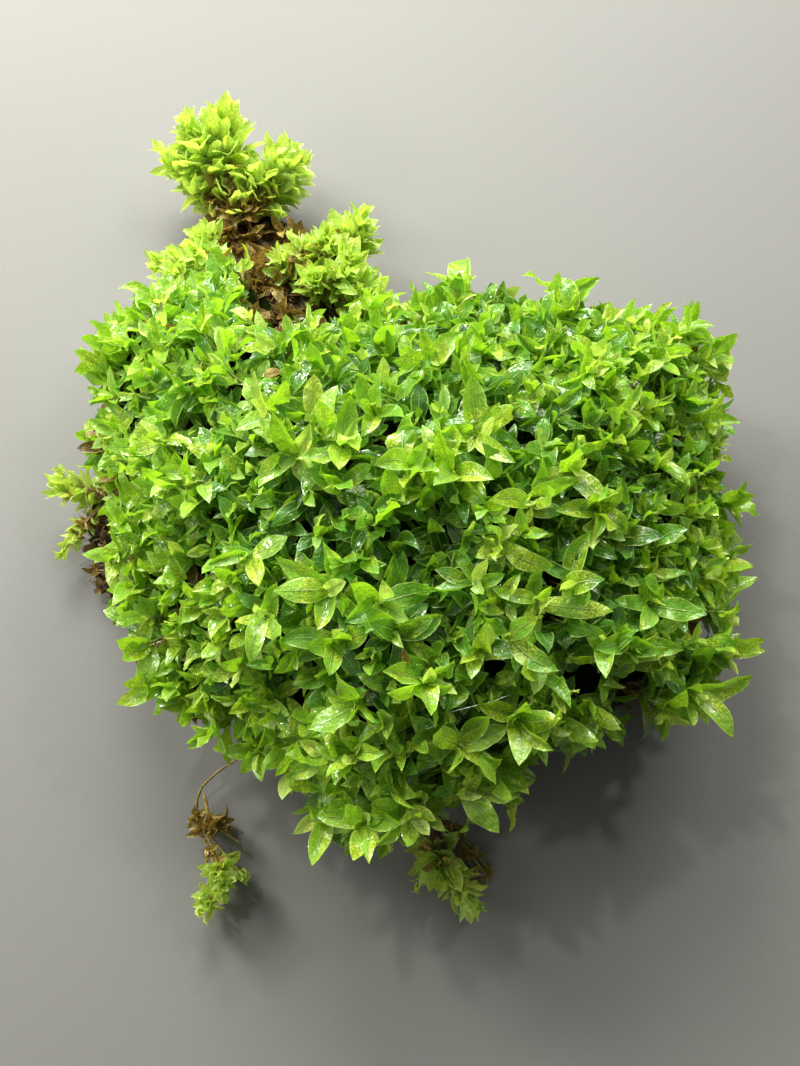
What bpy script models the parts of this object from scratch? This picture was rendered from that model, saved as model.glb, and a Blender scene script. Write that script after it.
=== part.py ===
"""A small clump of wet moss lifted from the ground with its soil, as solid pieces.

A flat-bottomed mat of soil and rhizoids carries one dense green cushion of shoots. Loose tufts and
sprigs lean out from the mat around it. Each shoot ends in a star of pointed leaves, and the stars
of one cushion or tuft are joined with what they grow from into one closed solid.

Units are metres, +Z is up, and the origin is on the flat underside of the soil, under the cushion.
The back of the clump is +Y, and its right side is +X.
"""
import math
import random

import bmesh
import bpy
from mathutils import Matrix, Vector, noise

MM = 0.001
UP = Vector((0.0, 0.0, 1.0))

# ---------------------------------------------------------------- driving dimensions

PEAK_HEIGHT = 14.2 * MM          # top of the cushion's core above the underside
PEAK_PLACE = Vector((1.0, 0.0, 0.0)) * MM
DOME_POWER = 2.6                 # 2 is a round dome, more is a flatter top
LEAF_REACH = 2.5 * MM            # from a shoot's middle to its leaf tips
LEAF_RISE = 0.9 * MM             # of the leaf tips above the shoot's foot
SHOOT_SPACING = 3.2 * MM         # between neighbouring stars of the cushion
LEAVES_A_STAR = 5
LEAF_WIDTH = 0.42                # of a leaf's length, at its widest
RIM_INSET = 1.6 * MM             # the cushion's core stops this far inside its leaf tips
SOIL_TOP = 4.0 * MM              # highest soil under the cushion
SOIL_SHOWN_TOP = 2.4 * MM        # soil that reaches out past the cushion
SOIL_LUMP = 2.2 * MM             # width of the lumps in the soil
SOIL_CRUMB = 0.8 * MM            # depth of the crumbling along its edge
SOIL_BEARINGS = 48
CLEARANCE = 0.3 * MM             # air left between two pieces that touch
STEM_RADIUS = 0.35 * MM
SEED = 12

# The cushion's outline at the leaf tips: bearing in degrees from +X, reach from PEAK_PLACE and
# height of the rim, both in millimetres.
CUSHION_OUTLINE = [
    (0, 18.8, 6.5), (22, 19.8, 7.5), (38, 23.0, 7.0), (52, 20.3, 7.0), (72, 18.2, 7.0),
    (93, 17.2, 7.0), (110, 17.0, 6.0), (124, 24.0, 5.6), (140, 25.2, 5.6), (156, 22.5, 5.5),
    (174, 18.6, 5.5), (195, 17.6, 5.8), (211, 17.4, 6.0), (228, 15.0, 6.4), (243, 15.0, 7.4),
    (254, 16.6, 8.6), (265, 16.0, 9.2), (284, 14.9, 9.0), (302, 13.6, 9.0), (319, 15.4, 8.0),
    (336, 18.9, 6.8),
]

# The soil mat's outline: bearing in degrees and reach in millimetres. It shows past the cushion
# at the back left, where it carries the tall tuft, and a little at the left and right.
SOIL_OUTLINE = [
    (0, 16.2), (25, 16.5), (40, 18.5), (60, 16.5), (82, 15.0), (98, 17.0), (106, 22.5), (113, 27.3),
    (121, 27.3), (131, 22.8), (150, 20.0), (165, 20.4), (176, 20.4), (186, 17.0), (202, 13.8),
    (230, 12.0), (262, 12.5), (300, 10.8), (325, 13.5), (343, 16.8),
]

# The loose tufts and sprigs around the cushion. Each shoot is a bent stem, given by its points
# in millimetres from root to head, then the reach of its leaves and how far its head leans out
# from upright, from 0 to 1.
SPRIGS = {
    "back_left_tuft": [
        ([(-10.4, 23.0, 2.9), (-11.9, 25.0, 3.4), (-13.6, 26.9, 3.9)], 2.6, 0.8),
        ([(-10.2, 23.2, 2.9), (-10.6, 25.8, 3.9), (-11.2, 28.4, 4.8)], 2.8, 0.75),
        ([(-10.0, 23.0, 2.9), (-8.9, 25.2, 3.4), (-7.9, 27.0, 3.8)], 2.4, 0.8),
    ],
    "back_tuft": [
        ([(-5.2, 19.2, 3.0), (-4.2, 20.8, 3.8), (-3.4, 21.8, 4.5)], 2.3, 0.6),
        ([(-5.2, 19.0, 3.0), (-6.0, 20.2, 3.6), (-6.6, 20.9, 4.0)], 1.7, 0.4),
    ],
    "left_sprig": [
        ([(-17.6, 4.6, 2.9), (-19.0, 5.2, 2.9), (-20.2, 5.7, 2.8)], 1.6, 0.8),
        ([(-17.6, 4.4, 2.9), (-18.8, 3.4, 2.7), (-19.6, 2.4, 2.4)], 1.3, 0.8),
    ],
    "front_left_sprig": [
        ([(-7.8, -9.6, 1.2), (-11.4, -12.0, 0.9), (-11.6, -14.4, 0.8), (-10.2, -16.9, 1.3),
          (-10.7, -18.2, 1.6)], 1.7, 0.8),
    ],
    "front_sprig": [
        ([(1.6, -13.0, 1.3), (1.8, -15.2, 1.4), (2.4, -17.2, 1.7)], 2.6, 0.6),
    ],
}

# ---------------------------------------------------------------- shape rules


def around(outline, bearing, column):
    """Value of one column of a closed outline at any bearing, eased smoothly between its rows."""
    bearing = bearing % 360.0
    rows = outline + [(outline[0][0] + 360.0,) + tuple(outline[0][1:])]
    for before, after in zip(rows, rows[1:]):
        if before[0] <= bearing <= after[0]:
            share = (bearing - before[0]) / (after[0] - before[0])
            share = share * share * (3.0 - 2.0 * share)
            return (before[column] + (after[column] - before[column]) * share) * MM
    raise ValueError(bearing)


RIM_WAY = 0.8                    # way from peak to underside at which the cushion's rim lies
LOWEST_SHOOT_WAY = 0.9           # shoots grow down to here, under the rim


def skin_point(bearing, way):
    """Point on the cushion's core: way 0 is the peak, 1 the edge of the flat underside."""
    rim_reach = around(CUSHION_OUTLINE, bearing, 1) - RIM_INSET
    rim_height = around(CUSHION_OUTLINE, bearing, 2)
    floor_reach = min(around(SOIL_OUTLINE, bearing, 1), rim_reach) - RIM_INSET
    floor_height = SOIL_TOP + CLEARANCE
    if way <= RIM_WAY:
        share = way / RIM_WAY
        reach = share * rim_reach
        height = rim_height + (PEAK_HEIGHT - rim_height) * (1.0 - share ** DOME_POWER)
    else:
        turn = (way - RIM_WAY) / (1.0 - RIM_WAY) * math.pi / 2
        reach = rim_reach - (rim_reach - floor_reach) * (1.0 - math.cos(turn))
        height = rim_height - (rim_height - floor_height) * math.sin(turn)
    angle = math.radians(bearing)
    return PEAK_PLACE + Vector((reach * math.cos(angle), reach * math.sin(angle), height))


def skin_normal(bearing, way):
    """Outward direction of the core at a point, from two short steps along it."""
    way = max(way, 0.02)
    outwards = skin_point(bearing, way + 0.01) - skin_point(bearing, way - 0.01)
    onwards = skin_point(bearing + 2.0, way) - skin_point(bearing - 2.0, way)
    return outwards.cross(onwards).normalized()


def soil_height(x, y):
    """Top of the soil mat at a place: a level bed under the cushion, lower and lumpy past it."""
    flat = Vector((x, y, 0.0)) - PEAK_PLACE
    bearing = math.degrees(math.atan2(flat.y, flat.x))
    edge = around(SOIL_OUTLINE, bearing, 1)
    covered = around(CUSHION_OUTLINE, bearing, 1) - RIM_INSET
    outside = min(1.0, max(0.0, (flat.length - covered + 2.5 * MM) / (3.0 * MM)))
    lumps = noise.noise(Vector((x, y, 0.0)) / SOIL_LUMP) * 0.5 * MM
    shown = SOIL_SHOWN_TOP + lumps
    rounding = min(1.0, max(0.0, (edge - flat.length) / (1.2 * MM))) ** 0.5
    height = (SOIL_TOP - 0.2 * MM) * (1.0 - outside) + shown * outside
    return min(SOIL_TOP, height * (0.55 + 0.45 * rounding))


# ---------------------------------------------------------------- making solids


def new_material(name, color, roughness):
    material = bpy.data.materials.new(name)
    material.use_nodes = True
    shader = material.node_tree.nodes["Principled BSDF"]
    shader.inputs["Base Color"].default_value = (*color, 1.0)
    shader.inputs["Roughness"].default_value = roughness
    return material


def new_object(name, shape, material):
    """Object made from a bmesh, linked to the scene."""
    mesh = bpy.data.meshes.new(name)
    bmesh.ops.recalc_face_normals(shape, faces=shape.faces[:])
    shape.to_mesh(mesh)
    shape.free()
    mesh.materials.append(material)
    made = bpy.data.objects.new(name, mesh)
    bpy.context.collection.objects.link(made)
    return made


def close_rings(shape, top, rings, bottom):
    """Skin a stack of rings of points, closed by one point at the top and one at the bottom."""
    corners = [[shape.verts.new(point) for point in ring] for ring in rings]
    top_corner = shape.verts.new(top)
    bottom_corner = shape.verts.new(bottom)
    count = len(corners[0])
    for index in range(count):
        following = (index + 1) % count
        shape.faces.new((top_corner, corners[0][index], corners[0][following]))
        shape.faces.new((bottom_corner, corners[-1][following], corners[-1][index]))
        for upper, lower in zip(corners, corners[1:]):
            shape.faces.new((upper[index], lower[index], lower[following], upper[following]))


def add_star(shape, foot, axis, reach, dice, lowest):
    """Closed star of pointed leaves around an axis, raised where a leaf would dip too low."""
    axis = axis.normalized()
    side = axis.orthogonal().normalized()
    across = axis.cross(side)
    spin = dice.uniform(0.0, 2.0 * math.pi)
    ring = []
    for leaf in range(LEAVES_A_STAR):
        angle = spin + 2.0 * math.pi * leaf / LEAVES_A_STAR + dice.uniform(-0.15, 0.15)
        tip_way = side * math.cos(angle) + across * math.sin(angle)
        breadth = across * math.cos(angle) - side * math.sin(angle)
        length = reach * dice.uniform(0.85, 1.1)
        rise = axis * LEAF_RISE * dice.uniform(0.5, 1.5)
        middle = foot + tip_way * length * 0.55 + rise * 0.6
        half_width = breadth * length * LEAF_WIDTH / 2
        ring += [middle - half_width, foot + tip_way * length + rise, middle + half_width]
    raised = UP * max(0.0, lowest - min(point.z for point in ring))
    corners = [shape.verts.new(point + raised) for point in ring]
    heart = shape.verts.new(foot + axis * LEAF_RISE * 0.9 + raised)
    root = shape.verts.new(foot - axis * reach * 0.6 + raised)
    for corner, following in zip(corners, corners[1:] + corners[:1]):
        shape.faces.new((heart, corner, following))
        shape.faces.new((root, following, corner))


def shells_of(shape):
    """Groups of faces that hang together, largest first."""
    waiting = set(shape.faces)
    shells = []
    while waiting:
        shell = set()
        edge_of_shell = [waiting.pop()]
        while edge_of_shell:
            face = edge_of_shell.pop()
            shell.add(face)
            near = {other for edge in face.edges for other in edge.link_faces} & waiting
            waiting -= near
            edge_of_shell.extend(near)
        shells.append(shell)
    return sorted(shells, key=len, reverse=True)


def fuse(body, additions):
    """Join the additions to the body as one skin, and fill any pocket sealed between leaves."""
    union = body.modifiers.new("Fuse leaves", "BOOLEAN")
    union.operation = "UNION"
    union.solver = "EXACT"
    union.use_self = True
    union.object = additions
    joined = bpy.data.meshes.new_from_object(body.evaluated_get(bpy.context.evaluated_depsgraph_get()))
    body.modifiers.clear()
    body.data = joined
    bpy.data.objects.remove(additions)

    shape = bmesh.new()
    shape.from_mesh(joined)
    for pocket in shells_of(shape)[1:]:
        bmesh.ops.delete(shape, geom=list(pocket), context="FACES")
    shape.to_mesh(joined)
    shape.free()


# ---------------------------------------------------------------- the pieces


def make_soil(material):
    """Flat-bottomed mat of soil and rhizoids, with a crumbly edge where it shows past the cushion."""
    bearings = [360.0 * index / SOIL_BEARINGS for index in range(SOIL_BEARINGS)]
    rings = []
    for share in (0.35, 0.6, 0.78, 0.88, 0.95, 1.0):
        ring = []
        for bearing in bearings:
            angle = math.radians(bearing)
            way = Vector((math.cos(angle), math.sin(angle), 0.0))
            place = PEAK_PLACE + way * around(SOIL_OUTLINE, bearing, 1) * share
            ring.append(Vector((place.x, place.y, soil_height(place.x, place.y))))
        rings.append(ring)
    for height_share, inset in ((0.45, -0.25 * MM), (0.0, 0.5 * MM)):
        ring = []
        for point in rings[5]:
            way = Vector((point.x - PEAK_PLACE.x, point.y - PEAK_PLACE.y, 0.0)).normalized()
            crumb = noise.noise(point / SOIL_LUMP + UP * height_share) * SOIL_CRUMB
            flat = Vector((point.x, point.y, 0.0)) - way * (inset + abs(crumb))
            ring.append(flat + UP * point.z * height_share)
        rings.append(ring)
    shape = bmesh.new()
    top = Vector((PEAK_PLACE.x, PEAK_PLACE.y, soil_height(PEAK_PLACE.x, PEAK_PLACE.y)))
    close_rings(shape, top, rings, Vector((0.0, 0.0, 0.0)))
    return new_object("soil_mat", shape, material)


def scatter_shoots():
    """Feet and directions for the cushion's stars, each at least SHOOT_SPACING from the rest."""
    dice = random.Random(SEED)
    shoots = []
    for _ in range(9000):
        bearing = dice.uniform(0.0, 360.0)
        way = LOWEST_SHOOT_WAY * math.sqrt(dice.random())
        foot = skin_point(bearing, way)
        if all((foot - other).length > SHOOT_SPACING for other, _ in shoots):
            lean = Vector((dice.uniform(-1, 1), dice.uniform(-1, 1), 0.0)) * 0.25
            shoots.append((foot, (skin_normal(bearing, way) + UP * 0.35 + lean).normalized()))
    return shoots


def make_cushion(material):
    """Dense cushion: a bun-shaped core covered all over with stars of leaves."""
    bearings = [360.0 * index / 28 for index in range(28)]
    ways = (0.25, 0.45, 0.62, RIM_WAY, 0.9, 1.0)
    rings = [[skin_point(bearing, way) for bearing in bearings] for way in ways]
    shape = bmesh.new()
    underside = Vector((PEAK_PLACE.x, PEAK_PLACE.y, SOIL_TOP + CLEARANCE))
    close_rings(shape, skin_point(0.0, 0.0), rings, underside)
    cushion = new_object("moss_cushion", shape, material)

    dice = random.Random(SEED + 1)
    stars = bmesh.new()
    lowest = SOIL_TOP + 1.5 * CLEARANCE
    for foot, axis in scatter_shoots():
        reach = LEAF_REACH * dice.uniform(0.85, 1.15)
        add_star(stars, foot, axis, reach, dice, lowest)
    fuse(cushion, new_object("cushion_stars", stars, material))
    return cushion


def add_stem(shape, start, end, radius):
    """Closed six-sided stem between two points."""
    along = end - start
    turn = along.to_track_quat("Z", "Y").to_matrix().to_4x4()
    bmesh.ops.create_cone(
        shape, cap_ends=True, segments=6, radius1=radius, radius2=radius * 0.8,
        depth=along.length, matrix=Matrix.Translation((start + end) / 2) @ turn)


def make_sprig(name, shoots, material):
    """Tuft or sprig outside the cushion: bent stems that carry a few stars of leaves each."""
    dice = random.Random(name)
    first = None
    parts = bmesh.new()
    for stem_points, leaf_reach, lean in shoots:
        points = [Vector(point) * MM for point in stem_points]
        for start, end in zip(points, points[1:]):
            along = (end - start).normalized() * STEM_RADIUS * 0.5
            if first is None:
                first = bmesh.new()
                add_stem(first, start, end + along, STEM_RADIUS)
            else:
                add_stem(parts, start - along, end + along, STEM_RADIUS)
        heading = (points[-1] - points[-2]).normalized()
        axis = heading * lean + UP * (1.0 - lean)
        head = points[-1]
        reach = leaf_reach * MM
        add_star(parts, head, axis, reach * 0.8, dice, 0.2 * MM)
        add_star(parts, head - heading * reach * 0.5, axis, reach, dice, 0.2 * MM)
    sprig = new_object(name, first, material)
    fuse(sprig, new_object(name + "_leaves", parts, material))
    return sprig


def main():
    for old in list(bpy.data.objects):
        bpy.data.objects.remove(old)
    soil = new_material("wet_soil", (0.075, 0.045, 0.022), 0.85)
    leaves = new_material("moss_leaves", (0.16, 0.36, 0.03), 0.4)
    young = new_material("young_moss_leaves", (0.36, 0.55, 0.05), 0.4)
    make_soil(soil)
    make_cushion(leaves)
    for name, shoots in SPRIGS.items():
        make_sprig(name, shoots, young)


main()
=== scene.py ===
# %% [markdown]
# # A small clump of wet moss
#
# The real thing is a cushion of leafy moss about 40 mm across, lifted with its soil and set down on
# a table. Some six hundred shoots stand side by side, and each one ends in a star of thin, wet,
# pointed leaves. This lesson dresses the solid model with those leaves, one star at a time.
#
# The solid model comes first. It is loaded as a fixed frame that nothing here may move, and its box
# is kept, so that the finished clump can be compared with it at the end.

# %% Load the fixed frame
import math
import random
from collections import namedtuple

import bmesh
import bpy
import numpy as np
from mathutils import Euler, Matrix, Vector, noise


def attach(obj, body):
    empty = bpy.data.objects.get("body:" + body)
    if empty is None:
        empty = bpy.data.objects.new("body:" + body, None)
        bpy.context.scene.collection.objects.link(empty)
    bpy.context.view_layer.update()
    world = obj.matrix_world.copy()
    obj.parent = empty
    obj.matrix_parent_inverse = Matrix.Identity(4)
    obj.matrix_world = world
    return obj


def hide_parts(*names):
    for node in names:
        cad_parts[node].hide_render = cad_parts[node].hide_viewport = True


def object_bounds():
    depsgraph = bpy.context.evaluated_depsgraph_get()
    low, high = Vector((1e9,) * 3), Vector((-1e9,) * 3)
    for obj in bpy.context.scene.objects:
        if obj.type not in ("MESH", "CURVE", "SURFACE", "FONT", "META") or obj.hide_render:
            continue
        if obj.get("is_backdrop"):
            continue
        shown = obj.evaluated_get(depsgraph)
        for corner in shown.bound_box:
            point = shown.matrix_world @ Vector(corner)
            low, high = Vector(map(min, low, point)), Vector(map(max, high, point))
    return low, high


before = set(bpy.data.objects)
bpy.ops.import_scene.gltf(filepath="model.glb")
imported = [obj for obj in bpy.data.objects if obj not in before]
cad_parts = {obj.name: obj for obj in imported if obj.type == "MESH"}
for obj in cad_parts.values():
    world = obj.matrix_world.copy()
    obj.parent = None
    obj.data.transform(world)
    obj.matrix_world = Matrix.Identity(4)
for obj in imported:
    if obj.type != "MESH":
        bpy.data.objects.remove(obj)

cad_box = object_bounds()
print("solid nodes:", sorted(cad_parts))

# %% [markdown]
# ## The camera
#
# The photograph was taken from close above, leaning a little towards the viewer. A camera 53 mm from
# the top of the cushion, 14 degrees off plumb, sees it as the photograph does. Blender's camera clips
# away what is nearer than 100 mm unless it is told otherwise, so both clip distances are set.

# %% Place the camera
MM = 0.001
UP = Vector((0.0, 0.0, 1.0))
PHOTO_WIDTH, PHOTO_HEIGHT = 800, 1066
LENS = 36.0
SENSOR = 36.0
CAMERA_TILT = math.radians(14.0)
CAMERA_DISTANCE = 53.3 * MM
AIM = Vector((0.0, 0.0, 13.0)) * MM

camera_turn = Euler((CAMERA_TILT, 0.0, 0.0))
camera_place = AIM + camera_turn.to_matrix() @ UP * CAMERA_DISTANCE
bpy.ops.object.camera_add(location=camera_place, rotation=camera_turn)
camera = bpy.context.object
camera.data.lens = LENS
camera.data.sensor_width = SENSOR
camera.data.clip_start = 2.0 * MM
camera.data.clip_end = 5.0
bpy.context.scene.camera = camera
print("camera at", [round(value / MM, 1) for value in camera_place], "mm")

# %% [markdown]
# ## The floor and the light
#
# A plain pale floor and a few soft lamps make a small studio. The key lamp and the back lamp hang
# close by behind the clump and to its left, as the daylight did in the photograph, so the light falls
# off quickly across the floor and the soft shadow lies at the lower right. A weaker lamp behind at
# the right fills that side, and a very weak one at the left keeps the floor there light. They are
# small enough for wet leaves to mirror them as white patches, and two very small lamps add pinpoint
# glints. The wide lamp overhead and the world's faint light only keep the shadows from going black.
# Lamps near a small thing need very little power: these shine with less than a watt.

# %% Lay the floor and hang the lamps
FLOOR_COLOR = (0.188, 0.185, 0.170)
FLOOR_SIZE = 1.6
AIR_COLOR = (0.99, 1.0, 0.94, 1.0)
AIR_STRENGTH = 0.075
# Place and size of each lamp in millimetres, its power in watts, and its colour.
LAMPS = {
    "key_lamp": ((-98.0, 76.0, 70.0), 42.0, 0.227, (1.0, 0.99, 0.95)),
    "back_lamp": ((-20.0, 95.0, 75.0), 42.0, 0.198, (1.0, 1.0, 0.96)),
    "right_lamp": ((45.0, 95.0, 80.0), 60.0, 0.114, (1.0, 1.0, 0.97)),
    "left_lamp": ((-118.0, -6.0, 75.0), 45.0, 0.050, (1.0, 1.0, 0.97)),
    "sky_lamp": ((0.0, 0.0, 400.0), 400.0, 0.215, (0.97, 1.0, 0.98)),
    "glint_lamp": ((-60.0, 70.0, 130.0), 8.0, 0.053, (1.0, 1.0, 0.98)),
    "right_glint_lamp": ((70.0, 62.0, 110.0), 7.0, 0.030, (1.0, 1.0, 0.98)),
}


def soft_lamp(name, place, size, power, color):
    """Square lamp at a place in millimetres that looks at the clump and stays out of the picture."""
    place = Vector(place) * MM
    turn = (place - AIM).to_track_quat("Z", "Y").to_euler()
    bpy.ops.object.light_add(type="AREA", location=place, rotation=turn)
    lamp = bpy.context.object
    lamp.name = name
    lamp.data.size = size * MM
    lamp.data.energy = power
    lamp.data.color = color
    lamp.visible_camera = False


for name, (place, size, power, color) in LAMPS.items():
    soft_lamp(name, place, size, power, color)

world = bpy.data.worlds.new("studio_air")
world.use_nodes = True
world.node_tree.nodes["Background"].inputs["Color"].default_value = AIR_COLOR
world.node_tree.nodes["Background"].inputs["Strength"].default_value = AIR_STRENGTH
bpy.context.scene.world = world
bpy.context.scene.view_settings.view_transform = "Standard"

bpy.ops.mesh.primitive_plane_add(size=FLOOR_SIZE)
floor = bpy.context.object
floor.name = "floor"
floor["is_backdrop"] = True
print("lamps:", list(LAMPS))

# %% [markdown]
# ## Small helpers for materials
#
# A material is a graph of nodes. Adding each node by hand takes four or five lines, so a few helpers
# keep the recipes below short enough to read: one adds any node and fills its inputs, and the others
# each make one kind that comes back often, such as a noise, a bump or a colour ramp. All noises are
# read at the point's place on the object, in metres, so a scale is a number of spots a metre.

# %% Helpers for node graphs


def add_node(tree, kind, inputs=None, **settings):
    """Add a node, choose its settings, and fill or link its inputs by name or number."""
    made = tree.nodes.new(kind)
    for name, value in settings.items():
        setattr(made, name, value)
    for name, value in (inputs or {}).items():
        if isinstance(value, bpy.types.NodeSocket):
            tree.links.new(value, made.inputs[name])
        else:
            made.inputs[name].default_value = value
    return made


def math_node(tree, operation, *values):
    """Result of a Math node on the values."""
    return add_node(tree, "ShaderNodeMath", dict(enumerate(values)), operation=operation).outputs[0]


def fade(tree, value, start, end):
    """0 where the value is at start, 1 where it is at end, and smooth between."""
    limits = {"Value": value, "From Min": start, "From Max": end}
    return add_node(tree, "ShaderNodeMapRange", limits, interpolation_type="SMOOTHSTEP").outputs["Result"]


print("node helpers ready")

# %% Helpers for colours and patterns


def opaque(color):
    """Colour of three numbers with the fourth that a socket wants."""
    return (*color, 1.0)


def mix_colors(tree, share, first, second):
    """Blend of two colours: numbers 6 and 7 are the colour inputs of a Mix node."""
    inputs = {0: share, 6: first, 7: second}
    return add_node(tree, "ShaderNodeMix", inputs, data_type="RGBA").outputs[2]


def tint(tree, color, other, share, strength):
    """Colour moved towards another one where the share is high."""
    return mix_colors(tree, math_node(tree, "MULTIPLY", share, strength), color, opaque(other))


def color_ramp(tree, value, *stops):
    """Colour read from a ramp with the stops (position, red, green, blue)."""
    ramp = add_node(tree, "ShaderNodeValToRGB", {"Fac": value})
    while len(ramp.color_ramp.elements) < len(stops):
        ramp.color_ramp.elements.new(1.0)
    for element, (position, *color) in zip(ramp.color_ramp.elements, stops):
        element.position = position
        element.color = opaque(color)
    return ramp.outputs["Color"]


def object_place(tree):
    """Place of a point on its object, which patterns are read at."""
    return add_node(tree, "ShaderNodeTexCoord").outputs["Object"]


def leaf_map(tree):
    """Where a point is across its blade or tube, and where along it."""
    spot = add_node(tree, "ShaderNodeUVMap", uv_map="leaf").outputs["UV"]
    return add_node(tree, "ShaderNodeSeparateXYZ", {"Vector": spot}).outputs


def own_value(tree, title):
    """Value that each leaf or hair carries with it, such as its tone."""
    return add_node(tree, "ShaderNodeAttribute", attribute_name=title).outputs["Fac"]


def noise_of(tree, place, scale, detail, inputs=None, **settings):
    """Value of a soft noise."""
    wanted = {"Vector": place, "Scale": scale, "Detail": detail, **(inputs or {})}
    return add_node(tree, "ShaderNodeTexNoise", wanted, **settings).outputs["Fac"]


def from_cell(tree, place, scale):
    """Distance from the middle of the nearest cell."""
    return add_node(tree, "ShaderNodeTexVoronoi", {"Vector": place, "Scale": scale}).outputs["Distance"]


print("pattern helpers ready")

# %% Helpers for whole materials


def bump(tree, height, depth, strength=1.0):
    """Surface direction tilted as if the height stood out of the surface by a depth."""
    inputs = {"Height": height, "Strength": strength, "Distance": depth}
    return add_node(tree, "ShaderNodeBump", inputs).outputs["Normal"]


def shader(tree, kind, **inputs):
    """Output of a shader whose inputs are given in words, such as Base_Color."""
    inputs = {name.replace("_", " "): value for name, value in inputs.items()}
    return add_node(tree, "ShaderNodeBsdf" + kind, inputs).outputs[0]


def new_material(name):
    """Empty material and its node tree."""
    material = bpy.data.materials.new(name)
    material.use_nodes = True
    material.node_tree.nodes.clear()
    return material, material.node_tree


def finish_material(tree, surface):
    """Link the last shader to the material's output."""
    add_node(tree, "ShaderNodeOutputMaterial", {"Surface": surface})


def streaked_finish(name, stops, scale, detail, roughness, depth, strength=1.0,
                    source=None, swing=0.0, **more):
    """Material of one noise, which picks its colours on a ramp and raises its relief. Where a source
    is given, the colours follow that, and the noise only swings them."""
    material, tree = new_material(name)
    streaks = noise_of(tree, object_place(tree), scale, detail)
    level = streaks
    if source:
        swung = math_node(tree, "MULTIPLY_ADD", streaks, swing, -swing / 2.0)
        level = math_node(tree, "ADD", source(tree), swung)
    finish_material(tree, shader(
        tree, "Principled", Base_Color=color_ramp(tree, level, *stops), Roughness=roughness,
        Normal=bump(tree, streaks, depth, strength), **more))
    print("finish:", name)
    return material


print("material helpers ready")

# %% [markdown]
# ### The floor's finish
#
# Even a plain floor has a little life: a faint cloudiness in its colour and a fine tooth that
# breaks up its reflections.

# %% Floor finish
CLOUD_DARKNESS = 0.93

material, tree = new_material("pale_floor")
place = object_place(tree)
cloud = noise_of(tree, place, 45.0, 3.0)
tooth = noise_of(tree, place, 2600.0, 2.0)
darker = opaque(value * CLOUD_DARKNESS for value in FLOOR_COLOR)
finish_material(tree, shader(
    tree, "Principled", Base_Color=mix_colors(tree, cloud, darker, opaque(FLOOR_COLOR)), Roughness=0.85,
    Normal=bump(tree, tooth, 0.05 * MM, 0.25)))
floor.data.materials.append(material)
print("floor finish ready")

# %% [markdown]
# ## The cushion's form
#
# The cushion is a low dome, heart-shaped in plan. It is given by its outline at a few bearings:
# how far the leaf tips reach there, and how high the rim is. These are the same numbers and the
# same rules as in the solid model, so that the leaves grow from the solid's own skin.

# %% Dimensions shared with the solid model
PEAK_HEIGHT = 14.2 * MM
PEAK_PLACE = Vector((1.0, 0.0, 0.0)) * MM
DOME_POWER = 2.6
RIM_INSET = 1.6 * MM
SOIL_TOP = 4.0 * MM
CLEARANCE = 0.3 * MM
RIM_WAY = 0.8                     # share of the way from the peak to the underside where the rim is
WAY_STEP = 0.01
BEARING_STEP = 2.0

# Bearing in degrees, reach of the leaf tips and height of the rim in millimetres.
CUSHION_OUTLINE = [
    (0, 18.8, 6.5), (22, 19.8, 7.5), (38, 23.0, 7.0), (52, 20.3, 7.0), (72, 18.2, 7.0),
    (93, 17.2, 7.0), (110, 17.0, 6.0), (124, 24.0, 5.6), (140, 25.2, 5.6), (156, 22.5, 5.5),
    (174, 18.6, 5.5), (195, 17.6, 5.8), (211, 17.4, 6.0), (228, 15.0, 6.4), (243, 15.0, 7.4),
    (254, 16.6, 8.6), (265, 16.0, 9.2), (284, 14.9, 9.0), (302, 13.6, 9.0), (319, 15.4, 8.0),
    (336, 18.9, 6.8),
]

# Bearing in degrees and reach of the soil in millimetres.
SOIL_OUTLINE = [
    (0, 16.2), (25, 16.5), (40, 18.5), (60, 16.5), (82, 15.0), (98, 17.0), (106, 22.5), (113, 27.3),
    (121, 27.3), (131, 22.8), (150, 20.0), (165, 20.4), (176, 20.4), (186, 17.0), (202, 13.8),
    (230, 12.0), (262, 12.5), (300, 10.8), (325, 13.5), (343, 16.8),
]
print("rows of the cushion's and of the soil's outline:", len(CUSHION_OUTLINE), len(SOIL_OUTLINE))

# %% Rules of the cushion's skin


def around(outline, bearing, column):
    """Value of one column of a closed outline at any bearing, eased smoothly between its rows."""
    bearing = bearing % 360.0
    rows = outline + [(outline[0][0] + 360.0,) + tuple(outline[0][1:])]
    for before, after in zip(rows, rows[1:]):
        if before[0] <= bearing <= after[0]:
            share = (bearing - before[0]) / (after[0] - before[0])
            share = share * share * (3.0 - 2.0 * share)
            return (before[column] + (after[column] - before[column]) * share) * MM
    raise ValueError(bearing)


def rim_reach_at(bearing):
    """Distance of the rim from the peak, in plan."""
    return around(CUSHION_OUTLINE, bearing, 1) - RIM_INSET


def skin_point(bearing, way):
    """Point on the cushion's skin: way 0 is the peak, 1 the edge of the flat underside."""
    rim_reach = rim_reach_at(bearing)
    rim_height = around(CUSHION_OUTLINE, bearing, 2)
    floor_reach = min(around(SOIL_OUTLINE, bearing, 1), rim_reach) - RIM_INSET
    floor_height = SOIL_TOP + CLEARANCE
    if way <= RIM_WAY:
        share = way / RIM_WAY
        reach = share * rim_reach
        height = rim_height + (PEAK_HEIGHT - rim_height) * (1.0 - share ** DOME_POWER)
    else:
        turn = (way - RIM_WAY) / (1.0 - RIM_WAY) * math.pi / 2
        reach = rim_reach - (rim_reach - floor_reach) * (1.0 - math.cos(turn))
        height = rim_height - (rim_height - floor_height) * math.sin(turn)
    angle = math.radians(bearing)
    return PEAK_PLACE + Vector((reach * math.cos(angle), reach * math.sin(angle), height))


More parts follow.
